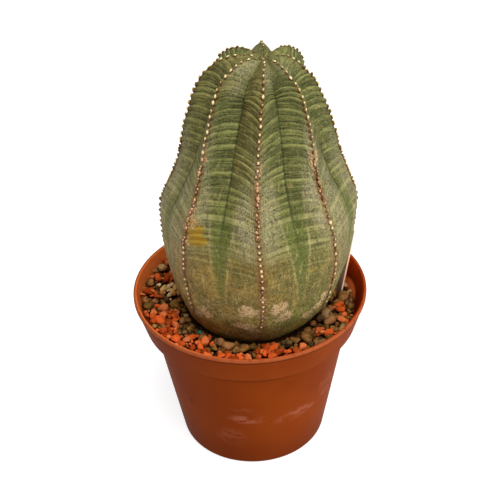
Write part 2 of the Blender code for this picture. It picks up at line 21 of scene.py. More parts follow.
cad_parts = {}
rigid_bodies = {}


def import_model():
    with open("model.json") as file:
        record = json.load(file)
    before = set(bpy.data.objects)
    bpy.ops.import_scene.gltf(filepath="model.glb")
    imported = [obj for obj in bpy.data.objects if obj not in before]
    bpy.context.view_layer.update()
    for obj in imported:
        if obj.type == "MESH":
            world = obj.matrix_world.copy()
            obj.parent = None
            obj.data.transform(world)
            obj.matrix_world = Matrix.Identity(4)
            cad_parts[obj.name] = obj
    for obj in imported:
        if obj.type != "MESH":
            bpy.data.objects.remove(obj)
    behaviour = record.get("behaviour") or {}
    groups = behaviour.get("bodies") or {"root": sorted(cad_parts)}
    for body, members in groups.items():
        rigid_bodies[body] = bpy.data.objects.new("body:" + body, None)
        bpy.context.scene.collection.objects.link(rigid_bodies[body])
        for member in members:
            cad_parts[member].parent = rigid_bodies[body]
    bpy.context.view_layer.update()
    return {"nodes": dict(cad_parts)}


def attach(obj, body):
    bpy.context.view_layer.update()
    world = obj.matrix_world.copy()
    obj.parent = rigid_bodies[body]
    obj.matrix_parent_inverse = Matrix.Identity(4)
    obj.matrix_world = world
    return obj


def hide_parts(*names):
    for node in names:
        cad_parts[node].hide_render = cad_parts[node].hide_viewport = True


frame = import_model()
MM = 0.001
print("nodes in the frame:", len(frame["nodes"]))

# %% [markdown]
# ## The camera
#
# The plant is seen from the front and from about 35 degrees above, through a long lens, in a picture that
# is tipped a little to one side. We set the camera first, because every later choice is judged through it.
# The turn about the camera's own axis comes last in the matrix, so it tips the picture and nothing else.

# %% The camera
CAMERA_PLACE = (0, -479.0, 451.3)
CAMERA_DOWN = 35.32
CAMERA_YAW = 0.08
CAMERA_ROLL = 1.77
LENS = 83.72

camera_data = bpy.data.cameras.new("camera")
camera_data.lens = LENS
camera = bpy.data.objects.new("camera", camera_data)
bpy.context.scene.collection.objects.link(camera)
look = Euler((math.radians(90 - CAMERA_DOWN), 0, math.radians(-CAMERA_YAW))).to_matrix()
tip = Matrix.Rotation(math.radians(-CAMERA_ROLL), 3, "Z")
camera.matrix_world = Matrix.Translation(Vector(CAMERA_PLACE) * MM) @ (look @ tip).to_4x4()
bpy.context.scene.camera = camera
print("camera at", [round(value, 3) for value in camera.location])

# %% [markdown]
# ## Painting with nodes
#
# A finish is a node tree. Written out node by node it is hard to read, so we wrap a socket in a small
# class with the arithmetic operators: `1 - mask * 0.5` then adds two Math nodes. Colours are mixed with
# Mix nodes, because a Math node would turn them grey. One method, `node`, adds every other kind.

# %% Sockets that do sums
class Value:
    """A socket of a finish. Arithmetic on it adds Math nodes."""

    def __init__(self, finish, socket):
        self.finish = finish
        self.socket = socket

    def maths(self, operation, *others):
        inputs = dict(enumerate((self, *others)))
        return self.finish.node("ShaderNodeMath", {"operation": operation}, inputs)[0]

    def __add__(self, other):
        return self.maths("ADD", other)

    def __sub__(self, other):
        return self.maths("SUBTRACT", other)

    def __rsub__(self, other):
        return (self * -1) + other

    def __mul__(self, other):
        return self.maths("MULTIPLY", other)

    def __truediv__(self, other):
        return self.maths("DIVIDE", other)

    def __gt__(self, other):
        return self.maths("GREATER_THAN", other)

    __radd__ = __add__
    __rmul__ = __mul__


# %% [markdown]
# A finish owns its node tree, and offers the few things that we paint with: noise and chance, soft steps,
# ramps, coats of colour laid over each other, numbers that the mesh stores, and bumps.

# %% Finishes
def srgb(red, green, blue):
    """A colour as it is read off a screen, 0 to 255, as the linear colour that a shader wants."""
    linear = []
    for channel in (red, green, blue):
        share = channel / 255
        linear.append(share / 12.92 if share <= 0.04045 else ((share + 0.055) / 1.055) ** 2.4)
    return (*linear, 1)


def tones(*rows):
    """Stops for a ramp, from rows of a value and the three numbers of a colour."""
    return [(at, srgb(*color)) for at, *color in rows]


class Finish:
    """A material with a Principled shader, and the few methods that paint with it."""

    def __init__(self, name, **constants):
        self.material = bpy.data.materials.new(name)
        self.material.use_nodes = True
        self.tree = self.material.node_tree
        self.shader = self.tree.nodes["Principled BSDF"]
        self.place = self.node("ShaderNodeTexCoord")["Object"]
        for name, value in constants.items():
            self.shader.inputs[name.replace("_", " ")].default_value = value

    def feed(self, socket, value):
        """Links a value to a socket, or sets the socket."""
        if isinstance(value, Value):
            self.tree.links.new(value.socket, socket)
        else:
            socket.default_value = value

    def node(self, kind, settings=None, inputs=None):
        """Adds a node: first its settings, then its sockets. Its outputs are had by name or number."""
        node = self.tree.nodes.new(kind)
        for name, value in (settings or {}).items():
            if name == "stops":
                for _ in range(len(value) - 2):
                    node.color_ramp.elements.new(0.5)
                for element, (at, color) in zip(node.color_ramp.elements, value):
                    element.position = at
                    element.color = color
            else:
                setattr(node, name, value)
        for name, value in (inputs or {}).items():
            self.feed(node.inputs[name], value)
        outputs = {index: Value(self, socket) for index, socket in enumerate(node.outputs)}
        return outputs | {socket.name: Value(self, socket) for socket in node.outputs}

    def noise(self, size, detail=2, roughness=0.5, place=None):
        """Cloudy noise from 0 to 1, about 0.5, with blotches of a size in mm."""
        inputs = {"Vector": place or self.place, "Scale": 1 / (size * MM)}
        inputs |= {"Detail": detail, "Roughness": roughness}
        return self.node("ShaderNodeTexNoise", {}, inputs)[0]

    def chance(self, *numbers):
        """An even random number from 0 to 1 for every set of up to three numbers."""
        vector = self.node("ShaderNodeCombineXYZ", {}, dict(enumerate(numbers)))[0]
        return self.node("ShaderNodeTexWhiteNoise", {"noise_dimensions": "3D"}, {"Vector": vector})[0]

    def step(self, value, low, high):
        """A soft step: 0 below low and 1 above high, or the other way round."""
        settings = {"interpolation_type": "SMOOTHSTEP"}
        inputs = {"Value": value, "From Min": low, "From Max": high}
        return self.node("ShaderNodeMapRange", settings, inputs)["Result"]

    def apart(self, value, at, low, high):
        """A soft step of how far apart a value and a number are."""
        return self.step((value - at).maths("ABSOLUTE"), low, high)

    def mix(self, share, first, second):
        """The first colour with a share of the second one over it."""
        settings = {"data_type": "RGBA", "clamp_factor": True}
        return self.node("ShaderNodeMix", settings, {0: share, 6: first, 7: second})[2]

    def over(self, color, *coats):
        """A colour with coats laid over it, one after the other. A coat is a share and a colour."""
        for share, coat in coats:
            color = self.mix(share, color, coat)
        return color

    def ramp(self, value, *stops):
        """A colour that runs through the stops, which are (value, colour) pairs from 0 to 1."""
        return self.node("ShaderNodeValToRGB", {"stops": stops}, {0: value})[0]

    def split(self, vector):
        """The three parts of a vector."""
        parts = self.node("ShaderNodeSeparateXYZ", {}, {"Vector": vector})
        return parts["X"], parts["Y"], parts["Z"]

    def attribute(self, name):
        """The three numbers that the mesh stores under a name."""
        return self.split(self.node("ShaderNodeAttribute", {"attribute_name": name})["Vector"])

    def coordinates(self):
        """Where the surface is: x, y and z in mm."""
        return [part / MM for part in self.split(self.place)]

    def scaled(self, *by):
        """The place on the surface with each axis scaled by its own number, which stretches a noise."""
        return self.node("ShaderNodeVectorMath", {"operation": "MULTIPLY"}, {0: self.place, 1: by})[0]

    def bump(self, height, depth, normal=None):
        """A bump of a depth in mm, over another one if that is given."""
        inputs = {"Height": height, "Strength": 1, "Distance": depth * MM}
        if normal:
            inputs["Normal"] = normal
        return self.node("ShaderNodeBump", {}, inputs)["Normal"]

    def paint(self, **channels):
        """Feeds the shader's channels, such as Base_Color and Roughness."""
        for name, value in channels.items():
            self.feed(self.shader.inputs[name.replace("_", " ")], value)
        print(self.material.name, "has", len(self.tree.nodes), "nodes")
        return self.material


# %% [markdown]
# ## Floor and light
#
# A product picture on white wants a pale floor that runs past the frame and light from big soft sources.
# Here the main lamp hangs almost straight above the plant, a weak one stands low at its right, so the left
# of the pot turns dark, and a pale sky fills in the rest. The plain "Standard" view keeps the painted
# colours as they are, instead of softening the bright ones.

# %% Floor and light
# Each lamp has its place and size in mm, and its power in watts.
LAMPS = {"top_lamp": ((120, -300, 950), 700, 10), "side_lamp": ((700, -250, 260), 500, 2.4)}
LAMP_AIM = (0, 0, 110)
SKY = 0.27
FLOOR_REACH = 3000
FLOOR_GLOW = 0.74


def area_light(name, place, size, power):
    """A square lamp that shines at the middle of the plant."""
    data = bpy.data.lights.new(name, "AREA")
    data.size = size * MM
    data.energy = power
    lamp = bpy.data.objects.new(name, data)
    bpy.context.scene.collection.objects.link(lamp)
    place = Vector(place) * MM
    aim = Vector(LAMP_AIM) * MM - place
    lamp.matrix_world = Matrix.Translation(place) @ aim.to_track_quat("-Z", "Y").to_matrix().to_4x4()


for lamp_name, (lamp_place, lamp_size, lamp_power) in LAMPS.items():
    area_light(lamp_name, lamp_place, lamp_size, lamp_power)
world = bpy.data.worlds.new("studio")
world.use_nodes = True
world.node_tree.nodes["Background"].inputs["Color"].default_value = (1, 1, 1, 1)
world.node_tree.nodes["Background"].inputs["Strength"].default_value = SKY
bpy.context.scene.world = world
bpy.context.scene.view_settings.view_transform = "Standard"


# %% [markdown]
# Every piece below is a list of points and a list of faces. These helpers turn such lists into an object,
# turn its faces outwards, store numbers on it for the paint, and fix it to the frame.

# %% A mesh from points and faces
def add_piece(name, points, faces, material, sharp=None):
    """A mesh object from points in mm, shaded smooth, but sharp at edges over an angle if it is given."""
    mesh = bpy.data.meshes.new(name)
    mesh.from_pydata((np.asarray(points) * MM).tolist(), [], faces)
    mesh.materials.append(material)
    mesh.shade_smooth()
    if sharp:
        mesh.set_sharp_from_angle(angle=math.radians(sharp))
    piece = bpy.data.objects.new(name, mesh)
    bpy.context.scene.collection.objects.link(piece)
    return piece


def face_outwards(piece):
    """Turns a closed mesh's faces outwards."""
    work = bmesh.new()
    work.from_mesh(piece.data)
    bmesh.ops.recalc_face_normals(work, faces=work.faces)
    work.to_mesh(piece.data)
    work.free()


def store(piece, name, domain, values):
    """Stores three numbers under a name for each point or corner of a mesh."""
    stored = piece.data.attributes.new(name, "FLOAT_VECTOR", domain)
    stored.data.foreach_set("vector", np.asarray(values, np.float32).ravel())


def dress(piece, slot_name, *nodes):
    """Fixes a piece to the frame, and hides the nodes that it stands for. The slot's name is not used."""
    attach(piece, "root")
    if nodes:
        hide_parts(*nodes)
    print(piece.name, "has", len(piece.data.polygons), "faces")


floor_finish = Finish("light table", Roughness=0.9, Emission_Color=(1, 1, 1, 1), Emission_Strength=FLOOR_GLOW)
paper = floor_finish.ramp(floor_finish.noise(60), (0.3, (0.58, 0.58, 0.58, 1)), (0.7, (0.6, 0.6, 0.6, 1)))
floor_corners = [(x * FLOOR_REACH, y * FLOOR_REACH, 0) for x, y in ((-1, -1), (1, -1), (1, 1), (-1, 1))]
floor = add_piece("floor", floor_corners, [[0, 1, 2, 3]], floor_finish.paint(Base_Color=paper))

# %% [markdown]
# ## The pot
#
# A nursery pot is moulded in one piece: a thin tapered wall, a step out to a wider band under the rim, and
# a floor with holes. A turned shape is the natural way to make it. We repeat the frame's outline with many
# more sides and rounder corners, then cut the holes with one Boolean.

# %% The pot's shape
POT_HEIGHT = 90
POT_RADIUS = 60
POT_WALL = 1.6
POT_SIDES = 192
LIP_HEIGHT = 1.9
LIP_DEPTH = 0.5
BAND_HEIGHT = 17
BAND_DRAFT = 4.6
STEP_DEPTH = 4.3
BASE_RADIUS = 38.4
BASE_ROUNDING = 2
DRAIN_HOLES = 8
DRAIN_RADIUS = 3.5
DRAIN_RING = 25
DRAIN_SIDES = 36
CORNER_STEPS = 5
CORNER_REACH = 0.45
POT_SHARP = 60


def rounded(outline):
    """An outline of (radius, height) points. Its inner corners are rounded by their third number."""
    smooth = [outline[0]]
    for before, here, after in zip(outline, outline[1:], outline[2:]):
        corner = Vector(here[:2])
        to_before = Vector(before[:2]) - corner
        to_after = Vector(after[:2]) - corner
        reach = min(here[2], to_before.length * CORNER_REACH, to_after.length * CORNER_REACH)
        start = corner + to_before.normalized() * reach
        end = corner + to_after.normalized() * reach
        for step in range(CORNER_STEPS + 1):
            t = step / CORNER_STEPS
            smooth.append(tuple((1 - t) ** 2 * start + 2 * t * (1 - t) * corner + t * t * end))
    return smooth + [outline[-1]]


def turned(name, outline, sides, material):
    """A solid turned about the Z axis from (radius, height) points that start and end on the axis."""
    points = []
    rings = []
    for radius, height in outline:
        if radius == 0:
            rings.append([len(points)] * sides)
            points.append((0, 0, height))
            continue
        rings.append(list(range(len(points), len(points) + sides)))
        for side in range(sides):
            turn = 2 * math.pi * side / sides
            points.append((radius * math.cos(turn), radius * math.sin(turn), height))
    faces = []
    for low, high in zip(rings, rings[1:]):
        for side in range(sides):
            after = (side + 1) % sides
            corners = [low[side], low[after], high[after], high[side]]
            faces.append(list(dict.fromkeys(corners)))
    piece = add_piece(name, points, faces, material)
    face_outwards(piece)
    return piece


def band_inner_radius(height):
    """The inside radius of the pot's rim band."""
    return POT_RADIUS - BAND_DRAFT * (POT_HEIGHT - height) / BAND_HEIGHT - POT_WALL


def pot_outline():
    """The pot's section, from the middle of its underside, up the outside and down the inside."""
    step = POT_HEIGHT - BAND_HEIGHT
    band_foot = POT_RADIUS - BAND_DRAFT
    body_top = band_foot - STEP_DEPTH
    wall = POT_WALL
    return rounded([
        (0, 0),
        (BASE_RADIUS, 0, BASE_ROUNDING),
        (body_top, step, 0.3),
        (band_foot, step, 0.45),
        (POT_RADIUS - LIP_DEPTH, POT_HEIGHT - LIP_HEIGHT - 0.4, 0.2),
        (POT_RADIUS, POT_HEIGHT - LIP_HEIGHT, 0.3),
        (POT_RADIUS, POT_HEIGHT, 0.7),
        (POT_RADIUS - wall, POT_HEIGHT, 0.7),
        (band_inner_radius(step + wall), step + wall, 0.4),
        (body_top - wall, step + wall, 0.4),
        (BASE_RADIUS - wall, wall, 1.2),
        (0, wall),
    ])


# %% [markdown]
# ### The pot's finish
#
# Terracotta-coloured polypropylene has a soft sheen and a faint moulded grain. This one has been watered and
# handled. Pale lime smears lie low on its front and up its right side, the lip is scuffed paler and painted
# with a highlight, dust sits low on the wall, and the corners under the lip and the band are painted dark as
# shade. Each of these is a mask made from noise and the height or the direction of the surface. What both
# sides of the wall need is made once, in a class of its own, and then each side gets its coats.

# %% What both sides of the pot share
# Smears on the front: middle, half width and half height in mm, slant and strength.
SMEARS = (
    (-6, 45, 7, 2, 0, 0.6), (-3.5, 37.5, 11, 4, 0, 1), (24, 36, 14, 4.4, 0.15, 1), (38, 44, 5, 9, 0, 0.6),
    (-12, 22, 9, 8, 0, 0.4),
)
FLECK = (-32.3, 41, 1.4, 1.2)
# A painted patch of light on the pot's inner wall: its middle and half sizes in mm.
LIT_PATCH = (11.5, 77, 10, 4)
# The middle of the band's wall is at this radius, and this much further out for each mm of height.
WALL_MIDDLE = 34.6
WALL_SLOPE = 0.273


def oval(finish, x, z, at_x, at_z, wide, high, slant=0):
    """A soft oval mark, placed by its middle and half sizes in mm. A slant tips it."""
    if slant:
        z = z - (x - at_x) * slant
    across = (x - at_x) / wide
    up = (z - at_z) / high
    return finish.step(across * across + up * up, 1.2, 0.2)


class PotPlastic(Finish):
    """The pot's material, with the masks that its inside and its outside share."""

    def __init__(self):
        super().__init__("pot plastic", Specular_IOR_Level=0.01)
        self.x, self.y, self.z = self.coordinates()
        self.radius = (self.x * self.x + self.y * self.y).maths("SQRT")
        self.cloud = self.noise(38, 3)
        self.grain = self.noise(0.55, 2, 0.7)
        self.front = self.step(self.y, 5, -5)
        smears = sum(oval(self, self.x, self.z, *mark) * strength for *mark, strength in SMEARS)
        streaks = self.step(self.noise(7, 5, 0.68, self.scaled(1, 1, 2.6)), 0.42, 0.6)
        self.smear = smears * streaks * self.front
        within = self.step(self.radius - WALL_MIDDLE - self.z * WALL_SLOPE, 0.3, -0.5)
        self.inside = within * self.step(self.z, 73.5, 75)


# %% [markdown]
# Outside, the plastic is painted darker at the left and towards the foot, as shade. Inside, only the wall of
# the band shows. It is painted bright at the left, as light that comes through it. Splashes of wet soil lie
# on it, painted stronger at the right as shade, and the right lies in painted shade, all but one painted
# patch of light.

# %% The pot's colours
def outside_color(plastic):
    """Moulded orange brown, a scuffed lip with a painted highlight, painted shade, smears, dust, a fleck."""
    x, z, radius = plastic.x, plastic.z, plastic.radius
    # The lip is scuffed paler, and also painted with a highlight.
    lip_scuff_and_highlight = plastic.step(z, 88.0, 88.9) * plastic.step(plastic.noise(3), 0.15, 0.5)
    # Painted shade under the lip and under the band.
    shade_under_lip = plastic.apart(z, 87.6, 0.7, 0.2) * plastic.step(radius, 58, 59)
    shade_under_band = plastic.step(z, 66.8, 69.6) * plastic.step(radius, 54.8, 53.6)
    dust = plastic.step(plastic.noise(5, 6, 0.7), 0.52, 0.75) * plastic.step(z, 42, 4)
    return plastic.over(
        plastic.mix(plastic.step(plastic.cloud, 0.3, 0.7), srgb(118, 46, 4), srgb(128, 53, 6)),
        (plastic.step(plastic.grain, 0.55, 0.8) * 0.15, srgb(140, 66, 26)),
        # Painted shade: darker at the left, and towards the foot.
        (plastic.step(x, 15, -55) * 0.45, srgb(76, 26, 2)),
        (plastic.step(z, 34, 0) * 0.45, srgb(86, 30, 4)),
        (lip_scuff_and_highlight * 0.7, srgb(170, 88, 52)),
        (shade_under_lip.maths("MAXIMUM", shade_under_band) * 0.75, srgb(50, 15, 2)),
        (plastic.smear * 0.38, srgb(168, 104, 84)),
        (dust * 0.3, srgb(92, 44, 20)),
        (oval(plastic, x, z, *FLECK) * plastic.front * 0.6, srgb(52, 14, 4)),
    )


def inside_color(plastic, color):
    """The inner wall over that: painted light at left, soil, painted shade at right, a painted lit patch."""
    x, z, inside = plastic.x, plastic.z, plastic.inside
    splashed = plastic.step(plastic.noise(6, 5, 0.65), 0.35, 0.7) * (0.35 + plastic.step(z, 79, 75) * 0.4)
    # Soil splashes, painted stronger at the right as shade.
    soil_and_shade = inside * splashed * (0.35 + plastic.step(x, -20, 15) * 0.65)
    shaded = inside * plastic.step(x, 30, 50) * plastic.step(z, 90, 79)
    # A painted patch of light on the right of the inner wall.
    lit_patch = oval(plastic, plastic.y, z, *LIT_PATCH) * plastic.step(x, 30, 40) * inside
    return plastic.over(
        color,
        (inside, srgb(158, 52, 5)),
        # Painted light: the left of the inner wall is bright.
        (inside * plastic.step(x, 0, -30) * 0.75, srgb(244, 130, 62)),
        (soil_and_shade, srgb(70, 22, 6)),
        (shaded * 0.55, srgb(66, 20, 4)),
        (lit_patch, srgb(246, 124, 62)),
    )


def pot_plastic():
    """Orange-brown moulded plastic: lime smears, a scuffed lip, a soiled inside, painted light and shade."""
    plastic = PotPlastic()
    color = inside_color(plastic, outside_color(plastic))
    roughness = 0.45 + plastic.grain * 0.16 + plastic.smear * 0.2 + plastic.inside * 0.15
    relief = plastic.bump(plastic.grain, 0.05, plastic.bump(plastic.cloud, 0.15))
    return plastic.paint(Base_Color=color, Roughness=roughness, Normal=relief)


# %% [markdown]
# The drain holes are eight plugs, which one Boolean cuts out of the floor at once. Its result becomes the
# pot's mesh, and the plugs are removed again.

# %% The pot and its drain holes
pot = turned("nursery_pot", pot_outline(), POT_SIDES, pot_plastic())
drains = bpy.data.collections.new("drains")
for hole in range(DRAIN_HOLES):
    turn = 2 * math.pi * (hole + 0.5) / DRAIN_HOLES
    shank = [(0, -1), (DRAIN_RADIUS, -1), (DRAIN_RADIUS, 2 * POT_WALL), (0, 2 * POT_WALL)]
    drain = turned(f"drain_{hole}", shank, DRAIN_SIDES, pot.data.materials[0])
    drain.location = Vector((DRAIN_RING * math.cos(turn), DRAIN_RING * math.sin(turn), 0)) * MM
    bpy.context.scene.collection.objects.unlink(drain)
    drains.objects.link(drain)
cut = pot.modifiers.new("drains", "BOOLEAN")
cut.operand_type = "COLLECTION"
cut.collection = drains
pot.data = bpy.data.meshes.new_from_object(pot.evaluated_get(bpy.context.evaluated_depsgraph_get()))
pot.modifiers.clear()
pot.data.set_sharp_from_angle(angle=math.radians(POT_SHARP))
for drain in list(drains.objects):
    bpy.data.objects.remove(drain)
bpy.data.collections.remove(drains)
dress(pot, "pot_plastic", "pot")

# %% [markdown]
# ## The potting soil
#
# The soil only shows through the drain holes and under the stones, so the frame's own solid stays, and
# gets a dark crumbly finish: fibres and grit in two sizes of noise, with pale specks of pumice.

# %% The potting soil
def potting_soil():
    """Dark, damp, crumbly soil with a few pale specks."""
    soil = Finish("potting soil", Specular_IOR_Level=0.1)
    crumb = soil.noise(3.2, 8, 0.7)
    specks = soil.step(soil.noise(1.3, 1), 0.7, 0.76)
    color = soil.mix(crumb, srgb(26, 15, 7), srgb(84, 52, 28))
    color = soil.mix(specks, color, srgb(170, 150, 120))
    relief = soil.bump(crumb, 1.6)
    return soil.paint(Base_Color=color, Roughness=0.85 + crumb * 0.1, Normal=relief)


soil_finish = potting_soil()
frame["nodes"]["potting_soil"].data.materials[0] = soil_finish

# %% [markdown]
# ## The stem
#
# The stem is one swollen, ribbed column. Its skin is a grid: rows run down the ribs' crests from the
# growing tip to the root, and columns run round it through eight crests and eight grooves. The frame made
# it from a crest outline, a groove depth and each rib's wander, so we repeat those curves and only take
# many more points. Between two rows of the frame lies one year's growth ring. In the fine mesh each ring
# swells a little between two creases.

# %% The stem's measures
CREST = [
    (0, 217), (6, 219.4), (12, 219.7), (18, 217.8), (23, 214.3), (27, 209.3), (31.5, 197), (35.5, 185),
    (38.9, 172), (43.4, 159), (47.6, 146), (48.2, 136), (47, 118), (42.8, 99), (38.8, 89), (34, 81),
    (27.5, 74), (18, 68), (9, 62), (5, 50), (2, 30),
]
CURVE_STEPS = 12
RIBS = 8
GROOVE_STATIONS = (0, 14, 30, 50, 70, 90, 110, 150, 165, 400)
GROOVE_DEPTHS = (0, 5.0, 8.8, 7.4, 5.4, 2.4, 1.6, 1.1, 0.2, 0)
ROUND_STATIONS = (40, 120)
ROUNDNESS = (0.25, 0.95)
WANDER_STATIONS = (0, 20, 40, 65, 90, 120, 150)
RIB_WANDER = [
    (3, 2, -1, -3, -2, 1, 2),
    (-14, -8, -3, -4, -2, 4, 6),
    (-6, -4, -1, -2, 0, 3, 4),
    (-3, -3, -2, 0, 1, 2, 2),
    (0, -2, -3, -2, -1, 0, 1),
    (2, 2, 1, 0, -1, -2, -2),
    (-2, -2, 0, 1, 0, -2, -2),
    (-9, -5, -3, -1, -1, -4, -4),
]
SINK_STATIONS = (6, 24, 40, 60, 80, 105)
CREST_SINKS = {2: (0, 3, 2, 1, 1, 0), 6: (0, 0, -1, 0, 1.6, 0)}
AXIS_AT_RIM = 3.9
AXIS_LEAN = 0.033
AXIS_SWEEP = 0.0016
SWEEP_TOP = 115
SWEEP_BOTTOM = 78
TIP_SHIFT = 1.8
TIP_REACH = 14
TUBERCLE_PITCH = 3.25
TUBERCLE_STATIONS = (0, 35)
TUBERCLE_HEIGHTS = (0.5, 1.1)
FIRST_ROW = 4.5
RING_ROWS = 46


def smooth_curve(stations, values, at):
    """A smooth curve through (station, value) pairs, level at its ends, at a number or an array."""
    stations, values = np.asarray(stations, float), np.asarray(values, float)
    slopes = np.zeros(len(stations))
    slopes[1:-1] = (values[2:] - values[:-2]) / (stations[2:] - stations[:-2])
    at = np.clip(at, stations[0], stations[-1])
    index = np.clip(np.searchsorted(stations, at, side="right") - 1, 0, len(stations) - 2)
    span = stations[index + 1] - stations[index]
    t = (at - stations[index]) / span
    level = values[index] * (1 + 2 * t) * (1 - t) ** 2 + values[index + 1] * t * t * (3 - 2 * t)
    return level + span * (slopes[index] * t * (1 - t) ** 2 - slopes[index + 1] * t * t * (1 - t))


def crest_curve():
    """The crest outline as a dense Catmull-Rom curve: its distances, radii and heights."""
    guide = [(-CREST[1][0], CREST[1][1]), *CREST]
    guide.append((2 * CREST[-1][0] - CREST[-2][0], 2 * CREST[-1][1] - CREST[-2][1]))
    guide = np.array(guide, float)
    t = (np.arange(CURVE_STEPS) / CURVE_STEPS)[:, None]
    dense = []
    for p0, p1, p2, p3 in zip(guide, guide[1:], guide[2:], guide[3:]):
        bend = (2 * p0 - 5 * p1 + 4 * p2 - p3) * t ** 2 + (3 * p1 - p0 - 3 * p2 + p3) * t ** 3
        dense.append(0.5 * (2 * p1 + (p2 - p0) * t + bend))
    dense = np.vstack([*dense, guide[-2:-1]])
    steps_along = np.linalg.norm(np.diff(dense, axis=0), axis=1)
    return np.concatenate([[0], np.cumsum(steps_along)]), dense[:, 0], dense[:, 1]


CREST_DOWN, CREST_RADIUS, CREST_HEIGHT = crest_curve()
CREST_LENGTH = CREST_DOWN[-1]
print("the crest is", round(CREST_LENGTH, 1), "mm long")

# %% [markdown]
# Three numbers say where a point of the stem is: its rib, how far across that rib it lies, and how far
# down the crest. One function turns them into a place. The skin's grid and every wart are made with it.

# %% Points on the stem
def crest_at(down):
    """Radius, height and outward direction on the crest, at distances down it from the tip."""
    radius = np.interp(down, CREST_DOWN, CREST_RADIUS)
    height = np.interp(down, CREST_DOWN, CREST_HEIGHT)
    before, after = np.clip(down - 1, 0, CREST_LENGTH), np.clip(down + 1, 0, CREST_LENGTH)
    along = np.interp(after, CREST_DOWN, CREST_RADIUS) - np.interp(before, CREST_DOWN, CREST_RADIUS)
    drop = np.interp(before, CREST_DOWN, CREST_HEIGHT) - np.interp(after, CREST_DOWN, CREST_HEIGHT)
    length = np.hypot(along, drop) + 1e-9
    return radius, height, drop / length, along / length


def axis_shift(height):
    """How far the leaning stem's axis is towards +X at a height."""
    height = np.maximum(height, SWEEP_BOTTOM)
    sweep = AXIS_SWEEP * np.maximum(0, SWEEP_TOP - height) ** 2
    return AXIS_AT_RIM + AXIS_LEAN * (height - POT_HEIGHT) - sweep


def rib_azimuth(rib, down):
    """The azimuth of each rib's crest, in degrees. Ribs count on past a full turn."""
    turns, rib = np.divmod(rib, RIBS)
    wander = np.array([smooth_curve(WANDER_STATIONS, row, down) for row in RIB_WANDER])
    return 360 * turns + 360 / RIBS * rib + np.take_along_axis(wander, rib[None], 0)[0]


def stem_points(rib, across, down, relief=0):
    """Points of the stem: across is 0 on the rib's crest, and 1 or -1 in the groove beside it."""
    radius, height, out_x, out_z = crest_at(down)
    here = rib_azimuth(rib, down)
    beside = rib_azimuth(rib + np.where(across > 0, 1, -1), down)
    azimuth = np.radians(here + (beside - here) * np.abs(across) / 2)
    roundness = smooth_curve(ROUND_STATIONS, ROUNDNESS, down)
    profile = (1 - roundness) * (1 - np.abs(across)) + roundness * (1 - across ** 2)
    depth = smooth_curve(GROOVE_STATIONS, GROOVE_DEPTHS, down) * (1 - profile) - relief
    for sunk_rib, sinks in CREST_SINKS.items():
        depth += (rib % RIBS == sunk_rib) * smooth_curve(SINK_STATIONS, sinks, down) * (1 - across ** 2)
    flat_radius = np.maximum(radius - out_x * depth, 0.01)
    level = height - out_z * depth
    shift = axis_shift(level) + TIP_SHIFT * np.exp(-((down / TIP_REACH) ** 2))
    return np.stack([shift + flat_radius * np.sin(azimuth), -flat_radius * np.cos(azimuth), level], -1)


tip_shift = float(axis_shift(CREST_HEIGHT.max()) - axis_shift(POT_HEIGHT))
print("the axis leans", round(tip_shift, 1), "mm to the right from the pot's rim to the tip")

# %% [markdown]
# ### The fine skin
#
# Columns crowd towards each crest, where the form is sharpest. Every ring on every flank swells by its own
# random amount, and slow noise keeps the flanks from looking machined. The mesh also stores what the paint
# needs to know: where a face is across its rib, how far down it is, and which rib it is on. These sit on
# face corners, so a face beside a groove isn't torn between two ribs.

# %% The fine skin
FLANK_COLUMNS = 20
CROWDING = 1.35
ROWS_PER_RING = 6
ROOT_STEP = 3.2
SKIN_SEED = 5
SKIN_TIP = 0.8
# Rings above the first row and along the root, which need a random strength too.
RINGS_ABOVE = 4
SPARE_RINGS = 60
# Slow waves over the skin: waves round the stem, length down it and height in mm.
SKIN_WAVES = ((5, 31, 0.16), (9, 17, 0.12), (14, 11, 0.08), (23, 7, 0.05))
WAVES_FADE_IN = 30
WAVES_END = 185
WAVES_FADE_OUT = 20
ARCH_STATIONS = (0, 12, 30, 60, 95, 130, 165)
ARCH = (0, 1.2, 4.4, 4.8, 4.4, 3.0, 0)
SWELL_STATIONS = (0, 10, 30, 60, 85, 120, 160)
SWELL = (0.05, 0.35, 0.62, 0.52, 0.3, 0.12, 0)


def arch_level(row, across):
    """Bands climb steeply from a crest, then run level towards the groove."""
    return row - smooth_curve(ARCH_STATIONS, ARCH, row) * (1 - (1 - np.abs(across)) ** 3)


def skin_grid():
    """Rows of distances down the crest, and the places of the columns across one rib."""
    fine_end = FIRST_ROW + TUBERCLE_PITCH * RING_ROWS
    rows = np.arange(SKIN_TIP, fine_end, TUBERCLE_PITCH / ROWS_PER_RING)
    rows = np.concatenate([rows, np.arange(fine_end, CREST_LENGTH - 1, ROOT_STEP), [CREST_LENGTH]])
    steps = np.arange(-FLANK_COLUMNS, FLANK_COLUMNS) / FLANK_COLUMNS
    return rows, np.sign(steps) * np.abs(steps) ** CROWDING


def skin_relief(rib, across, row):
    """How far the skin stands out from the plain form: ring by ring, and in slow waves."""
    rng = np.random.default_rng(SKIN_SEED)
    ring = (row - FIRST_ROW) / TUBERCLE_PITCH
    whole = np.floor(ring).astype(int)
    share = ring - whole
    flank = 2 * rib + (across > 0)
    strength = rng.uniform(0.2, 1, (RING_ROWS + SPARE_RINGS, 2 * RIBS))[whole + RINGS_ABOVE, flank]
    dome = 1 - np.abs(2 * share - 1) ** 2.5
    relief = smooth_curve(SWELL_STATIONS, SWELL, row) * strength * (dome - 0.75)
    azimuth = 2 * np.pi * (rib + across / 2) / RIBS
    fade = np.clip(row / WAVES_FADE_IN, 0, 1) * np.clip((WAVES_END - row) / WAVES_FADE_OUT, 0, 1)
    for waves, length, size in SKIN_WAVES:
        turn = rng.uniform(0, 2 * np.pi, 2)
        wave = np.sin(waves * azimuth + turn[0]) * np.sin(2 * np.pi * row / length + turn[1])
        relief = relief + size * wave * fade
    return relief


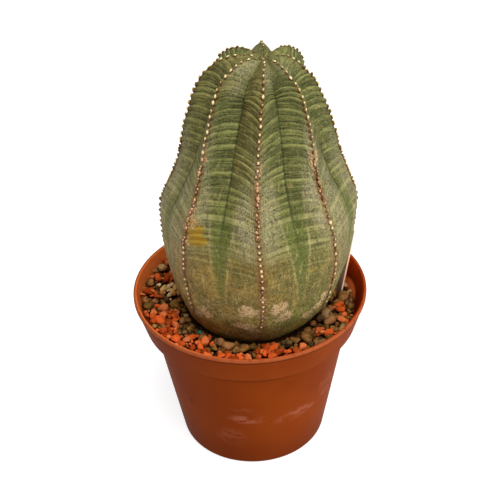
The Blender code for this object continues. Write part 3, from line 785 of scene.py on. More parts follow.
# %% [markdown]
# ### Marks of a life
#
# No noise would put a scar where this plant has one. Its marks are laid one by one, as soft oval spots: which
# rib, how far across it, how far down, and how large. Three of them go into one stored vector: browning, cork
# and bloom. A second vector holds the ochre stain, the rust along the crests and the deep green shade.

# %% Marks of a life
# Browned flanks: the rib, its side, and how strongly.
BROWN_FLANKS = {
    (7, -1): 0.7, (0, -1): 0.8, (6, -1): 0.7, (6, 1): 0.6, (5, -1): 0.5, (3, 1): 0.6, (4, -1): 0.4,
}
# Spots: the rib, how far across it and down it in mm, half width, half height in mm, and strength.
BROWN_SPOTS = [
    (7, 0.42, 124, 0.7, 24, 0.9), (0, -0.42, 122, 0.6, 24, 0.9), (0, 0.35, 116, 0.4, 12, 0.6),
    (0, 0.5, 142, 0.8, 14, 0.9), (0, -0.5, 142, 0.8, 14, 0.8), (7, 0.3, 28, 0.35, 9, 0.3),
    (1, 0.1, 142, 0.7, 12, 0.8), (1, 0.3, 118, 0.5, 20, 0.5), (3, -0.4, 120, 0.6, 20, 0.8),
    (5, 0.3, 125, 0.6, 20, 0.8), (4, 0.2, 132, 0.7, 16, 0.8), (7, -0.4, 116, 0.8, 28, 1),
    (6, 0.2, 140, 0.8, 16, 0.8), (2, 0.2, 130, 0.8, 20, 0.6),
]
CORK_SPOTS = [
    (0, -0.36, 139, 0.3, 4.2, 1), (0, -0.46, 150, 0.36, 3.0, 1), (0, -0.16, 155, 0.3, 2.2, 0.8),
    (0, 0.4, 138, 0.24, 5.0, 1), (0, 0.62, 145, 0.26, 3.6, 0.9), (0, 0.2, 156, 0.2, 2, 0.7),
    (7, 0.5, 146, 0.26, 4, 0.9), (7, 0.2, 150, 0.2, 3, 0.7), (1, -0.6, 150, 0.22, 3.2, 1),
    (1, -0.38, 146, 0.2, 3.2, 1), (1, -0.16, 141, 0.18, 3.4, 1), (1, 0.04, 135, 0.16, 3.2, 0.9),
    (0, 0, 66, 0.2, 6, 0.8), (1, 0, 64, 0.2, 7, 0.9), (7, 0, 60, 0.16, 5, 0.8),
    (7, 0.03, 95, 0.2, 12, 0.8), (0, 0, 134, 0.16, 12, 0.45), (4, 0, 70, 0.2, 8, 0.8),
    (3, 0.3, 142, 0.3, 5, 1), (4, -0.5, 138, 0.25, 4, 0.9), (5, 0.4, 144, 0.3, 5, 1),
    (6, 0.5, 140, 0.2, 6, 0.8),
]
BLOOM_SPOTS = [
    (0, -0.26, 90, 0.3, 14, 1), (0, 0.24, 88, 0.3, 16, 1), (7, 0.2, 88, 0.24, 12, 0.9),
    (1, -0.2, 84, 0.26, 16, 1), (1, 0.3, 94, 0.5, 22, 0.8), (6, 0.2, 92, 0.5, 24, 0.8),
    (2, -0.3, 92, 0.4, 22, 0.7), (6, -0.4, 110, 0.5, 25, 0.8), (7, -0.45, 98, 0.6, 20, 0.6),
    (7, 0.05, 66, 0.2, 20, 0.6), (0, 0.05, 72, 0.2, 16, 0.7), (1, 0.0, 66, 0.22, 20, 0.8),
    (1, 0.4, 12, 0.6, 8, 0.9), (7, 0.3, 13, 0.6, 8, 0.7), (0, 0.5, 16, 0.5, 9, 0.6),
    (7, 0.6, 24, 0.3, 8, 0.6),
]
OCHRE_SPOTS = [
    (7, 0.1, 94, 0.18, 2.6, 1), (7, 0.2, 98, 0.28, 3.2, 1), (7, 0.34, 102.5, 0.3, 3.2, 1),
    (1, -0.3, 98, 0.34, 5, 0.2), (7, 0.35, 26, 0.35, 8, 0.25), (3, -0.3, 100, 0.2, 5, 0.8),
]
SHADE_SPOTS = [
    (0, 0.5, 70, 0.8, 22, 1), (0, 0.8, 108, 0.4, 20, 0.7), (1, 0.4, 44, 0.9, 28, 1),
    (7, -0.5, 42, 1.0, 26, 1), (7, 0.6, 68, 0.5, 20, 0.6), (1, -0.5, 40, 0.6, 14, 0.5),
    (0, -0.5, 56, 0.8, 20, 0.5), (6, 0.5, 50, 0.9, 30, 0.9), (2, -0.5, 52, 0.9, 30, 0.9),
    (1, -0.85, 112, 0.3, 22, 0.8), (6, -0.5, 70, 0.8, 26, 0.7), (2, 0.4, 76, 0.8, 20, 0.7),
    (4, -0.4, 60, 0.8, 24, 0.9), (3, 0.5, 64, 0.8, 24, 0.8), (5, 0.3, 56, 0.9, 24, 0.9),
    (4, 0.5, 100, 0.6, 20, 0.6),
]
RUST_STATIONS = (0, 22, 40, 62, 74, 100, 118, 150)
RUST = (0.2, 0.5, 0.45, 0.3, 0.8, 0.5, 0.8, 0.6)


def soft_spots(rib, across, row, spots):
    """How strongly each point of the skin is marked by a list of oval spots."""
    place = rib + across / 2
    mark = np.zeros(row.shape)
    for spot_rib, spot_across, spot_row, wide, high, strength in spots:
        away = (place - spot_rib - spot_across / 2 + RIBS / 2) % RIBS - RIBS / 2
        distance = np.hypot(2 * away / wide, (row - spot_row) / high)
        mark = np.maximum(mark, strength * np.clip(1.6 - distance, 0, 1))
    return mark


def life_marks(rib, across, row):
    """Two vectors for every point: (browning, cork, bloom) and (ochre, rust, shade)."""
    brown = np.zeros(row.shape)
    for (brown_rib, side), strength in BROWN_FLANKS.items():
        flank = np.clip(across * side / 0.12, 0, 1) * np.clip((1.02 - across * side) / 0.1, 0, 1)
        brown = np.maximum(brown, strength * flank * (rib == brown_rib) * np.clip(row / 8, 0, 1))
    brown = np.maximum(brown * np.clip((115 - row) / 40, 0.35, 1), soft_spots(rib, across, row, BROWN_SPOTS))
    cork = soft_spots(rib, across, row, CORK_SPOTS)
    bloom = soft_spots(rib, across, row, BLOOM_SPOTS)
    ochre = soft_spots(rib, across, row, OCHRE_SPOTS)
    shade = soft_spots(rib, across, row, SHADE_SPOTS)
    rust = smooth_curve(RUST_STATIONS, RUST, row) * np.clip((0.16 - np.abs(across)) / 0.1, 0, 1)
    return np.stack([brown, cork, bloom], -1), np.stack([ochre, rust, shade], -1)


spot_lists = (BROWN_SPOTS, CORK_SPOTS, BLOOM_SPOTS, OCHRE_SPOTS, SHADE_SPOTS)
print("spots laid by hand:", sum(len(spots) for spots in spot_lists))


# %% [markdown]
# The grid is joined row by row, and a fan of triangles closes it at the tip and at the root. The growth
# values are listed corner by corner in the same loops, so they can't get out of step with the faces.

# %% The skin's mesh
def make_skin(material):
    """The stem's skin as one closed grid, with what the paint needs stored on it."""
    rows, columns = skin_grid()
    wide = len(columns)
    around = wide * RIBS
    shape = (len(rows), around)
    rib = np.broadcast_to(np.repeat(np.arange(RIBS), wide), shape)
    across = np.broadcast_to(np.tile(columns, RIBS), shape)
    row = np.broadcast_to(rows[:, None], shape)
    grid = stem_points(rib, across, arch_level(row, across), skin_relief(rib, across, row)).reshape(-1, 3)
    marks, stains = (mark.reshape(-1, 3) for mark in life_marks(rib, across, row))
    tip_point = stem_points(np.zeros(1, int), np.zeros(1), np.zeros(1))
    points = np.concatenate([grid, tip_point, grid[-around:].mean(0)[None]])
    tip, foot = len(grid), len(grid) + 1

    faces = []
    growth = []
    edges = np.append(columns, 1.0)
    for r, (top, low) in enumerate(zip(rows, rows[1:])):
        for c in range(around):
            after = (c + 1) % around
            faces.append([r * around + c, (r + 1) * around + c, (r + 1) * around + after, r * around + after])
            here, column = divmod(c, wide)
            left, right = edges[column], edges[column + 1]
            growth += [left, top, here, left, low, here, right, low, here, right, top, here]
    last = (len(rows) - 1) * around
    for c in range(around):
        after = (c + 1) % around
        faces += [[tip, c, after], [foot, last + after, last + c]]
        growth += [0, 0, c // wide] * 3 + [0, CREST_LENGTH, c // wide] * 3
    skin = add_piece("stem_skin", points, faces, material)
    store(skin, "growth", "CORNER", growth)
    store(skin, "marks", "POINT", np.concatenate([marks, np.zeros((2, 3))]))
    store(skin, "stains", "POINT", np.concatenate([stains, np.zeros((2, 3))]))
    return skin


# %% [markdown]
# ### The skin's finish
#
# Up close the skin tells its age. The young top is grey-green and dusty, then come clear bands, one for
# each growth ring, olive or light green with a dark crease between them. Further down the bands fade to
# pale arched lines under a mesh of fine waxy cracks, and the old foot goes olive brown with corky patches.
# Everything is placed by the stored growth values, and noise breaks up every border. Noise that is
# stretched along a flank gives the streaks that follow the arched bands, and noise that is stretched down
# the rib gives its pale threads.
#
# That makes some thirty coats of colour. The values that several coats need are made once, in a class of
# its own. Then a few short functions each lay the coats that belong together.

# %% What the skin's coats share
AGE_SPAN = 180
WORN = (100, 124)
# The border of a groove's green wedge: its place across the flank at a distance down, and its slope.
WEDGE = (0.66, 95, 0.0062)
CRACK_SCALE = 900
CRACK_SHAKE = 0.0016


class Skin(Finish):
    """The stem's material, with the values that more than one of its coats needs."""

    def __init__(self):
        super().__init__("stem skin", Specular_IOR_Level=0.12)
        self.across, self.down, self.rib = self.attribute("growth")
        self.brown, self.cork, self.bloom = self.attribute("marks")
        self.ochre, self.rust, self.shade = self.attribute("stains")
        self.side = self.across.maths("ABSOLUTE")
        self.flank = self.rib * 2 + (self.across > 0)
        self.slow = self.noise(20, 3)
        self.medium = self.noise(5, 4, 0.6)
        self.fine = self.noise(0.85, 3, 0.75)
        self.speck = self.noise(0.5, 2, 0.6)
        self.lines = self.streaks(2.6, 1.5, 4)
        self.threads = self.streaks(9, 0.14, 4)
        self.grains = (self.noise(0.9) + self.streaks(16, 0.6, 2)) * 0.5
        self.mesh = self.cracks()
        self.corky = self.step(self.cork + (self.medium - 0.5) * 2 + (self.fine - 0.5) * 1.6, 0.45, 0.95)
        self.worn = self.step(self.down, *WORN)
        self.fresh = 1 - self.worn * 0.7
        self.count_rings()

    def count_rings(self):
        """Each ring's number, how far through it a place is, and its light middle and dark creases."""
        rings = (self.down - FIRST_ROW) / TUBERCLE_PITCH + (self.medium - 0.5) * 0.35
        self.ring = rings.maths("FLOOR")
        self.share = rings - self.ring
        self.light = self.apart(self.share, 0.35, 0.3, 0.05)
        self.dark = self.apart(self.share, 0.5, 0.3, 0.48)
        crest_fades = self.step(self.side, 0.45, 0.15) * self.step(self.down, 60, 84)
        self.strong = self.ages(9, 26, 92, 120) * (1 - crest_fades * 0.8)

    def ages(self, start, full, fading, end):
        """A mask of ages, in mm down the rib: it grows from start to full and fades until the end."""
        return self.step(self.down, start, full) * self.step(self.down, end, fading)

    def streaks(self, over, under, detail):
        """Noise with its own numbers of blotches over a flank and down it. Each flank has its own streaks."""
        place = {0: self.flank * 7.3 + self.side * over, 1: self.down * under, 2: self.rib}
        inputs = {"Vector": self.node("ShaderNodeCombineXYZ", {}, place)[0], "Scale": 1}
        inputs |= {"Detail": detail, "Roughness": 0.68}
        return self.node("ShaderNodeTexNoise", {}, inputs)[0]

    def cracks(self):
        """A mesh of fine wavering cracks, a little longer down the stem than across it."""
        shake = self.noise(2, 3) * CRACK_SHAKE
        moved = {0: self.scaled(1, 1, 0.6), 1: shake}
        cells = self.node("ShaderNodeVectorMath", {"operation": "ADD"}, moved)[0]
        inputs = {"Vector": cells, "Scale": CRACK_SCALE}
        edges = self.node("ShaderNodeTexVoronoi", {"feature": "DISTANCE_TO_EDGE"}, inputs)["Distance"]
        return self.step(edges, 0.22, 0.04)


# %% [markdown]
# The first coats are broad. A ramp gives each age its green, and one side of some ribs has browned. At the
# right the green is painted deeper, as shade, and low down there it turns mossy. Over that lie streaks on the
# younger skin, blotches on the worn skin, and grain on both.

# %% Ages and textures of the skin
SKIN_AGES = tones(
    (0.0, 118, 114, 70), (0.1, 115, 120, 76), (0.2, 107, 115, 65), (0.38, 107, 115, 63),
    (0.5, 124, 122, 66), (0.58, 128, 120, 56), (0.68, 126, 106, 38), (0.8, 120, 90, 28),
    (0.86, 136, 114, 30), (0.94, 138, 118, 26), (0.98, 140, 92, 20),
)


def aged(skin):
    """The skin's ground colour: green by age, browned flanks, deeper greens painted as shade at the right and
    in shade.
    """
    greener = skin.step(skin.slow + (skin.chance(skin.flank, 3, 1) - 0.5) * 0.3, 0.35, 0.65)
    browned = skin.brown * skin.step(skin.slow + skin.medium * 0.5, 0.4, 0.8)
    # Painted shade: the right of the stem is a deeper, darker green.
    right = skin.step(skin.coordinates()[0], -14, 46)
    low_right = skin.step(skin.down, 128, 150) * skin.step(right, 0.08, 0.5)
    mossy = low_right * skin.step(skin.medium + skin.slow, 0.7, 1.05)
    deep = skin.shade * skin.step(skin.slow + skin.medium * 0.6, 0.45, 0.9)
    return skin.over(
        skin.ramp(skin.down / AGE_SPAN, *SKIN_AGES),
        (greener * 0.45, srgb(74, 94, 38)),
        (browned * 0.8, skin.mix(skin.worn, srgb(114, 84, 36), srgb(140, 94, 36))),
        (right * 0.58, srgb(54, 66, 20)),
        (mossy * 0.75, srgb(92, 116, 34)),
        (deep * 0.6, srgb(54, 66, 18)),
    )


def textured(skin, color):
    """Broad streaks where the skin is fresh, blotches where it is worn, and grain."""
    bands = skin.streaks(1.3, 0.34, 3)
    blotch = skin.noise(9, 6, 0.66)
    return skin.over(
        color,
        (skin.step(bands, 0.52, 0.38) * 0.6 * skin.fresh, srgb(54, 58, 20)),
        (skin.step(bands, 0.52, 0.64) * 0.5 * skin.fresh, srgb(150, 146, 80)),
        (skin.step(blotch, 0.52, 0.42) * skin.worn * 0.7, srgb(78, 74, 24)),
        (skin.step(blotch, 0.52, 0.6) * skin.worn * 0.55, srgb(150, 124, 46)),
        (skin.step(skin.grains, 0.49, 0.43) * (0.25 + skin.worn * 0.25), srgb(72, 60, 22)),
        (skin.step(skin.grains, 0.52, 0.58) * (0.12 + skin.worn * 0.16), srgb(172, 148, 84)),
    )


# %% [markdown]
# Each growth ring has one tone on each flank, by chance, a light middle and a dark crease. On the older
# skin only a few rings still show, as pale arches. There a clear green wedge grows wider up each groove,
# and its border is waxy.

# %% Growth rings of the skin
# Pale arches: how far down they lie, where they fade out and are full, in mm, and their strength.
ARCH_LINES = ((91, 1.6, 0.4, 1), (104, 1.3, 0.4, 1), (107.5, 1.0, 0.3, 0.7))


def banded(skin, color):
    """A band for each growth ring, with its own tone and crease, and fine streaks over them."""
    tone = skin.chance(skin.ring, skin.flank, 0)
    crease = 0.3 + skin.chance(skin.ring, skin.flank, 5) * 0.5
    return skin.over(
        color,
        (skin.step(tone, 0.6, 0.1) * skin.strong * (1 - skin.dark) * 0.6, srgb(50, 56, 20)),
        (skin.light * skin.strong * skin.step(tone, 0.3, 0.95) * 0.6, srgb(150, 150, 84)),
        (skin.dark * skin.strong * crease, srgb(36, 38, 12)),
        (skin.step(skin.lines, 0.48, 0.36) * (0.4 + skin.strong * 0.2) * skin.fresh, srgb(42, 42, 14)),
        (skin.step(skin.lines, 0.53, 0.66) * 0.42 * skin.fresh, srgb(158, 150, 88)),
    )


def arched(skin, color):
    """Pale arches where the bands have faded, with brown under them on the browned flanks."""
    arches = 0
    for at, faint, full, strength in ARCH_LINES:
        arches = (skin.apart(skin.down, at, faint, full) * strength).maths("MAXIMUM", arches)
    arches = arches * skin.step(skin.side, 0.05, 0.2) * skin.step(skin.threads + skin.medium, 0.7, 1.05)
    old = skin.apart(skin.share, 0.3, 0.2, 0.03) * skin.ages(84, 100, 112, 136)
    old = old * skin.step(skin.chance(skin.ring, skin.flank, 7), 0.5, 0.8)
    under = skin.apart(skin.share, 0.75, 0.22, 0.06) * skin.ages(90, 98, 112, 124)
    return skin.over(
        color,
        (arches.maths("MAXIMUM", old * 0.45) * 0.65, srgb(170, 164, 104)),
        (under * skin.step(skin.side, 0.05, 0.25) * skin.brown * 0.6, srgb(92, 58, 14)),
    )


def wedged(skin, color):
    """Clear green wedges beside the grooves, and the mask of their waxy borders."""
    start, middle, slope = WEDGE
    into = skin.side - start - (skin.down - middle) * slope + (skin.medium - 0.5) * 0.12
    ages = skin.ages(72, 104, 122, 156)
    green = skin.step(into, -0.03, 0.14) * ages * (0.45 + skin.step(skin.threads, 0.4, 0.6) * 0.4)
    border = skin.apart(into, 0, 0.05, 0.01) * ages * skin.step(skin.fine + skin.medium, 0.85, 1.15)
    return skin.mix(green, color, srgb(68, 86, 18)), border


# %% [markdown]
# The last coats lie on top. Dust and wax pale the skin, and wax also fills its cracks. Then come the marks of
# life that were laid one by one, the dark line down each groove, and painted shadows just below the warts.

# %% Wax and wear of the skin
def waxed(skin, color, border):
    """Dust, waxy cracks, and pale and dark threads down the ribs."""
    dusty = skin.bloom * skin.step(skin.medium + skin.lines * 0.5, 0.5, 0.9)
    cracked = skin.mesh * (skin.bloom * 0.6 + 0.14 + skin.worn * 0.12) * skin.step(skin.speck, 0.35, 0.6)
    pale = skin.step(skin.threads, 0.54, 0.68) * skin.step(skin.down, 20, 80) * (0.45 + skin.worn * 0.3)
    waxy = skin.step(skin.fine, 0.56, 0.72) * (0.2 + skin.step(skin.down, 50, 110) * 0.4) + border * 0.6
    return skin.over(
        color,
        (dusty * 0.5, skin.mix(skin.worn, srgb(142, 136, 110), srgb(146, 122, 84))),
        (cracked, srgb(180, 166, 122)),
        (pale, srgb(164, 148, 92)),
        (skin.step(skin.threads, 0.46, 0.32) * (0.4 + skin.worn * 0.25), srgb(66, 62, 26)),
        (waxy * 0.65, skin.mix(skin.worn, srgb(186, 174, 128), srgb(178, 158, 90))),
        (skin.step(skin.fine, 0.46, 0.3) * (0.5 - skin.worn * 0.15), srgb(50, 46, 20)),
    )


def weathered(skin, color):
    """Ochre stains, dark grooves, rust and painted wart shadows on the crests, cork and curls of peeling
    skin.
    """
    stained = skin.step(skin.ochre + (skin.medium - 0.5) * 0.8 + (skin.lines - 0.5) * 0.8, 0.25, 0.85)
    groove = skin.step(skin.side, 0.94, 0.99) * skin.ages(12, 24, 84, 118)
    rusty = skin.rust * skin.step(skin.medium + skin.speck * 0.6, 0.5, 0.85)
    # Painted shadow: a dark spot just below each wart on a crest.
    wart_shadow = skin.step(skin.side, 0.1, 0.03) * skin.apart(skin.share, 0.86, 0.2, 0.05)
    cork = skin.mix(skin.step(skin.grains, 0.36, 0.6), srgb(140, 100, 56), srgb(216, 184, 136))
    curls = skin.apart(skin.noise(3, 2), 0.5, 0.04, 0.01) * skin.step(skin.down, 128, 146)
    return skin.over(
        color,
        (stained * 0.85, skin.mix(skin.light * 0.8, srgb(144, 106, 8), srgb(176, 142, 34))),
        (groove * 0.62, srgb(34, 42, 14)),
        (rusty * 0.75, srgb(126, 74, 36)),
        (wart_shadow * skin.step(skin.down, 4, 10) * 0.75, srgb(36, 26, 10)),
        (skin.corky * 0.85, cork),
        (curls * skin.step(skin.medium, 0.42, 0.58) * 0.7, srgb(170, 156, 114)),
    )


# %% [markdown]
# Now the coats are laid in their order, from the ground colour outwards. The relief follows the same
# masks, so that creases sink, and cork and wax stand out under the light.

# %% The skin's finish
def stem_skin_finish():
    """Banded green skin that ages from dusty green at the tip to corky brown at the foot."""
    skin = Skin()
    color = arched(skin, banded(skin, textured(skin, aged(skin))))
    color, border = wedged(skin, color)
    color = weathered(skin, waxed(skin, color, border))
    relief = skin.bump(skin.fine, 0.3, skin.bump(skin.medium, 0.5))
    relief = skin.bump(skin.light * skin.strong - skin.dark * skin.strong + skin.lines * 0.8, 0.2, relief)
    relief = skin.bump(skin.mesh * skin.bloom + skin.corky, 0.15, relief)
    roughness = 0.58 + skin.fine * 0.18 + skin.corky * 0.15
    return skin.paint(Base_Color=color, Roughness=roughness, Normal=relief)


skin_piece = make_skin(stem_skin_finish())
dress(skin_piece, "stem_skin", "stem")

# %% [markdown]
# ## The tubercles
#
# A tubercle is a hard wart, left where a leaf or flower stalk once stood. There is one on every growth
# ring along each crest, so they march down the ribs like stitches. Each is a small cone with a blunt,
# overhanging tip. Made as a piece of its own it can be crisper than the skin's grid allows.

# %% The tubercles
WART_SIDES = 9
WART_RINGS = ((1.0, -0.35), (0.98, 0.05), (0.84, 0.45), (0.62, 0.78), (0.36, 1.0))
WART_LENGTH = 1.08
WART_WIDTH = 0.8
WART_TILT = 0.35
WART_SEED = 8
WART_JITTER = 0.35
WART_ASIDE = 0.3
# Where warts crowd, they stray further aside and differ more in size: (elsewhere, crowded).
WART_STRAY = (0.6, 2.4)
WART_GROWTH = ((0.8, 1.15), (0.55, 1.15))
WART_TALLNESS = (0.72, 1.0)
WART_ROUGHNESS = (0.76, 1.24)
# Stretches of a rib where warts crowd, in mm down it.
CROWDED = {7: (63, 106), 0: (62, 95), 1: (61, 88)}
USUAL_CROWD = (66, 96)
APEX_ROWS = (1.4, 2.9)
APEX_SIZE = 0.42
EXTRA_SIZE = 0.75
OLDER_BELOW = 40
YOUNGER_SHARE = 0.5


def wart_rows():
    """Where warts may sit: (distance down the rib, size, whether only a crowded stretch has them)."""
    rows = [(down, APEX_SIZE, False) for down in APEX_ROWS]
    for row in range(RING_ROWS - 1):
        down = FIRST_ROW + TUBERCLE_PITCH * (row + 0.5)
        rows.append((down, 0.62 + 0.38 * min(down / 40, 1), False))
        rows.append((down + TUBERCLE_PITCH / 2, EXTRA_SIZE, True))
    return rows


def wart_axes(rib, down, jitter):
    """A place on a rib's crest, and the directions sideways, up the rib and out of the skin there."""
    ribs = np.full(3, rib)
    at = stem_points(ribs, np.zeros(3), np.array([down, down - 0.5, down + 0.5]) + jitter)
    along = (at[1] - at[2]) / np.linalg.norm(at[1] - at[2])
    azimuth = math.radians(rib_azimuth(ribs, np.full(3, down))[0])
    sideways = np.array([math.cos(azimuth), math.sin(azimuth), 0])
    out = np.cross(sideways, along)
    out *= np.sign(out @ np.array([math.sin(azimuth), -math.cos(azimuth), 0.3]))
    return at[0], sideways, along, out


def wart_faces(first):
    """The faces of one wart, whose points are counted from a first one."""
    faces = []
    count = len(WART_RINGS)
    for ring in range(count - 1):
        for side in range(WART_SIDES):
            after = (side + 1) % WART_SIDES
            low, high = first + ring * WART_SIDES, first + (ring + 1) * WART_SIDES
            faces.append([low + side, low + after, high + after, high + side])
    faces.append([first + (count - 1) * WART_SIDES + side for side in range(WART_SIDES)])
    faces.append([first + side for side in reversed(range(WART_SIDES))])
    return faces


def make_tubercles(material):
    """All tubercles in one mesh. Each point knows how near the wart's tip it is, its age and a tone."""
    rng = np.random.default_rng(WART_SEED)
    points = []
    faces = []
    knows = []
    for down, size, extra in wart_rows():
        height = smooth_curve(TUBERCLE_STATIONS, TUBERCLE_HEIGHTS, down)
        for rib in range(RIBS):
            start, end = CROWDED.get(rib, USUAL_CROWD)
            crowded = start < down < end
            if extra and not crowded:
                continue
            place, sideways, along, out = wart_axes(rib, down, rng.uniform(-WART_JITTER, WART_JITTER))
            aside = rng.uniform(-WART_ASIDE, WART_ASIDE) * WART_STRAY[crowded]
            grow = size * rng.uniform(*WART_GROWTH[crowded])
            tall = height * rng.uniform(*WART_TALLNESS)
            tone = rng.uniform()
            age = down + OLDER_BELOW * (down > end) if rib in CROWDED else YOUNGER_SHARE * down
            foot = place + sideways * aside
            faces += wart_faces(len(points))
            for share, rise in WART_RINGS:
                for side in range(WART_SIDES):
                    turn = 2 * math.pi * side / WART_SIDES
                    rough = rng.uniform(*WART_ROUGHNESS)
                    spread = sideways * math.cos(turn) * WART_WIDTH + along * math.sin(turn) * WART_LENGTH
                    lean = along * WART_TILT * max(rise, 0)
                    points.append(foot + spread * share * grow * rough + out * rise * tall + lean)
                    knows.append((max(rise, 0), age, tone))
    warts = add_piece("stem_tubercles", points, faces, material)
    face_outwards(warts)
    store(warts, "wart", "POINT", knows)
    return warts


# %% [markdown]
# The young warts at the top are cream and gold, those on the middle of the plant have weathered to brick red
# with pale tips, and the oldest, near the foot, are tan. The pale tips are partly worn and partly a painted
# highlight, and each wart's foot is painted dark as shade. The colour follows the distance down the rib, with
# a share of chance for each wart.

# %% The tubercles' finish
WART_BASES = tones(
    (0.0, 128, 100, 48), (0.3, 124, 96, 44), (0.4, 116, 66, 38), (0.58, 124, 74, 44),
    (0.68, 116, 82, 46), (0.8, 120, 88, 54),
)
# Colours of the pale tips, which are partly worn and partly a painted highlight.
WART_TIPS_AND_HIGHLIGHTS = tones(
    (0.0, 226, 206, 150), (0.3, 230, 210, 158), (0.4, 198, 152, 112), (0.58, 202, 156, 118),
    (0.68, 228, 206, 162), (0.9, 216, 184, 138),
)


def wart_finish():
    """Horny little tips: cream at the top of the plant, brick red at its middle, tan near the foot."""
    horn = Finish("tubercle horn", Specular_IOR_Level=0.2)
    tip, down, tone = horn.attribute("wart")
    base = horn.ramp((down + (tone - 0.5) * 14) / AGE_SPAN, *WART_BASES)
    ends = horn.ramp((down + (tone - 0.5) * 20) / AGE_SPAN, *WART_TIPS_AND_HIGHLIGHTS)
    fine = horn.noise(0.5, 2)
    # The tips are worn paler, and painted with a highlight.
    worn = horn.step(tip + (fine - 0.5) * 1.0 + (tone - 0.5) * 0.8, 0.45, 1.0)
    color = horn.over(
        base,
        (horn.step(tone, 0.5, 0.1) * 0.5, srgb(78, 44, 22)),
        (worn, ends),
        # Painted shade at the foot of each wart.
        (horn.step(tip, 0.4, 0.0) * 0.75, srgb(50, 34, 14)),
    )
    return horn.paint(Base_Color=color, Roughness=0.5 + fine * 0.2, Normal=horn.bump(fine, 0.1))


dress(make_tubercles(wart_finish()), "stem_skin")

# %% [markdown]
# ## The gravel
#
# The soil is dressed with broken orange clay and brown river pebbles, with a few cream splinters at the
# left and one turquoise grain. The frame laid its stones by a seeded rule: bunches of chips first, then
# pebbles thrown like darts wherever there is room. The same rule with the same seed gives us the same
# places. We then throw smaller stones into the gaps, because a real bed shows no bare ground.
#
# The stones are heaped up against the pot's left wall, so there a bank raises each of them.

# %% The gravel's layout
BED_TOP = 79.1
BED_FALL = 0.031
BANK_HEIGHT = 4.8
# The bank grows between these distances from the pot's axis, and between these distances to the left.
BANK_AWAY = (37, 52)
BANK_LEFT = (22, 46)
WIDEST_HEIGHT = 136
# Bunches of chips: azimuth in degrees, distance from the axis in mm, and how many chips.
ORANGE_BUNCHES = [
    (-44, 41, 1), (-74, 40, 4), (-110, 50, 4), (-91, 51, 2), (-73, 49, 5), (-55, 47, 6), (-34, 48, 5),
    (-19, 44, 7), (33, 42, 4), (13, 43, 6), (54, 43, 3), (70, 49, 1), (84, 45, 2), (118, 47, 3),
    (150, 45, 4), (178, 46, 3), (-152, 46, 5), (-132, 49, 3),
]
PALE_BUNCH = (-99, 46, 5)
TURQUOISE_PLACE = (-45, 36.3)
TURQUOISE_RADIUS = 1.5
CHIP_RADII = (2.6, 4.0)
PEBBLE_RADII = (1.6, 4.8)
PEBBLE_THROWS = 9000
STONE_TOP = 0.95
STONE_FROM_STEM = 0.4
STONE_FROM_WALL = 0.4
STONE_FROM_LABEL = 1.3
STONE_GAP = 0.3
BED_INNER = 32
BED_OUTER = 54
OVERLAP = 0.6
PEBBLE_OVERLAP = 0.7
COLOUR_SHARE = 0.9
OWN_OVERLAP = 0.92 * OVERLAP
BUNCH_SPREAD = 4
TRIES_PER_CHIP = 60
GRAVEL_SEED = 12
LABEL_EDGE = (48.6, 8.8)
LABEL_WIDTH = 13
LABEL_TURN = 110


def bed_height(x):
    """The height of the packed gravel under its top stones."""
    return BED_TOP - BED_FALL * x


def bank(x, y):
    """How far the stones are banked up against the pot's left wall."""
    return BANK_HEIGHT * np.interp(np.hypot(x, y), BANK_AWAY, (0, 1)) * np.interp(-x, BANK_LEFT, (0, 1))


def crest_radius(height):
    """The stem's radius at a height in its lower half."""
    low = CREST_HEIGHT < WIDEST_HEIGHT
    return float(np.interp(height, CREST_HEIGHT[low][::-1], CREST_RADIUS[low][::-1]))


def label_gap(x, y):
    """The distance in plan from a point to the plant label."""
    turn = math.radians(LABEL_TURN)
    away = Vector((x - LABEL_EDGE[0], y - LABEL_EDGE[1]))
    flat = Vector((math.cos(turn), math.sin(turn)))
    return (away - flat * min(max(away.dot(flat), 0), LABEL_WIDTH)).length


def has_room(x, y, radius):
    """Whether a stone fits between the stem, the pot and the label."""
    top = bed_height(x) + STONE_TOP * radius
    from_wall = band_inner_radius(bed_height(x)) - math.hypot(x, y) - radius
    from_stem = math.hypot(x - axis_shift(top), y) - radius - crest_radius(top)
    if from_wall < STONE_FROM_WALL or from_stem < STONE_FROM_STEM:
        return False
    return label_gap(x, y) - radius > STONE_FROM_LABEL


def clear_of(stones, x, y, radius, share=COLOUR_SHARE, gap=STONE_GAP):
    """Whether a stone keeps its distance from others: a share under 1 lets them overlap."""
    return all(math.hypot(x - sx, y - sy) >= share * (radius + size) + gap for sx, sy, size in stones)


def grow_bunch(rng, azimuth, distance, count, others):
    """Places of one bunch of chips: each overlaps one before it, and all keep clear of the others."""
    turn = math.radians(azimuth)
    bunch = []
    for _ in range(TRIES_PER_CHIP * count):
        if len(bunch) == count:
            break
        radius = rng.uniform(*CHIP_RADII)
        if bunch:
            bx, by, size = rng.choice(bunch)
            way = rng.uniform(0, 2 * math.pi)
            reach = OVERLAP * (radius + size)
            x, y = bx + reach * math.cos(way), by + reach * math.sin(way)
        else:
            away = distance + rng.uniform(-BUNCH_SPREAD, BUNCH_SPREAD)
            x, y = away * math.sin(turn), -away * math.cos(turn)
        if has_room(x, y, radius) and clear_of(bunch, x, y, radius, OWN_OVERLAP, 0):
            if clear_of(others, x, y, radius):
                bunch.append((x, y, radius))
    return bunch


def throw_stones(rng, radii, throws, others, share, gap, own_share):
    """Stones thrown one after the other, large ones first, each kept where it has room."""
    kept = []
    large, small = radii[1], radii[0]
    for throw in range(throws):
        radius = large + (small - large) * (throw / throws) ** 0.5
        turn = rng.uniform(0, 2 * math.pi)
        away = math.sqrt(rng.uniform(BED_INNER ** 2, BED_OUTER ** 2))
        x, y = away * math.cos(turn), away * math.sin(turn)
        if has_room(x, y, radius) and clear_of(others, x, y, radius, share, gap):
            if clear_of(kept, x, y, radius, own_share, 0):
                kept.append((x, y, radius))
    return kept


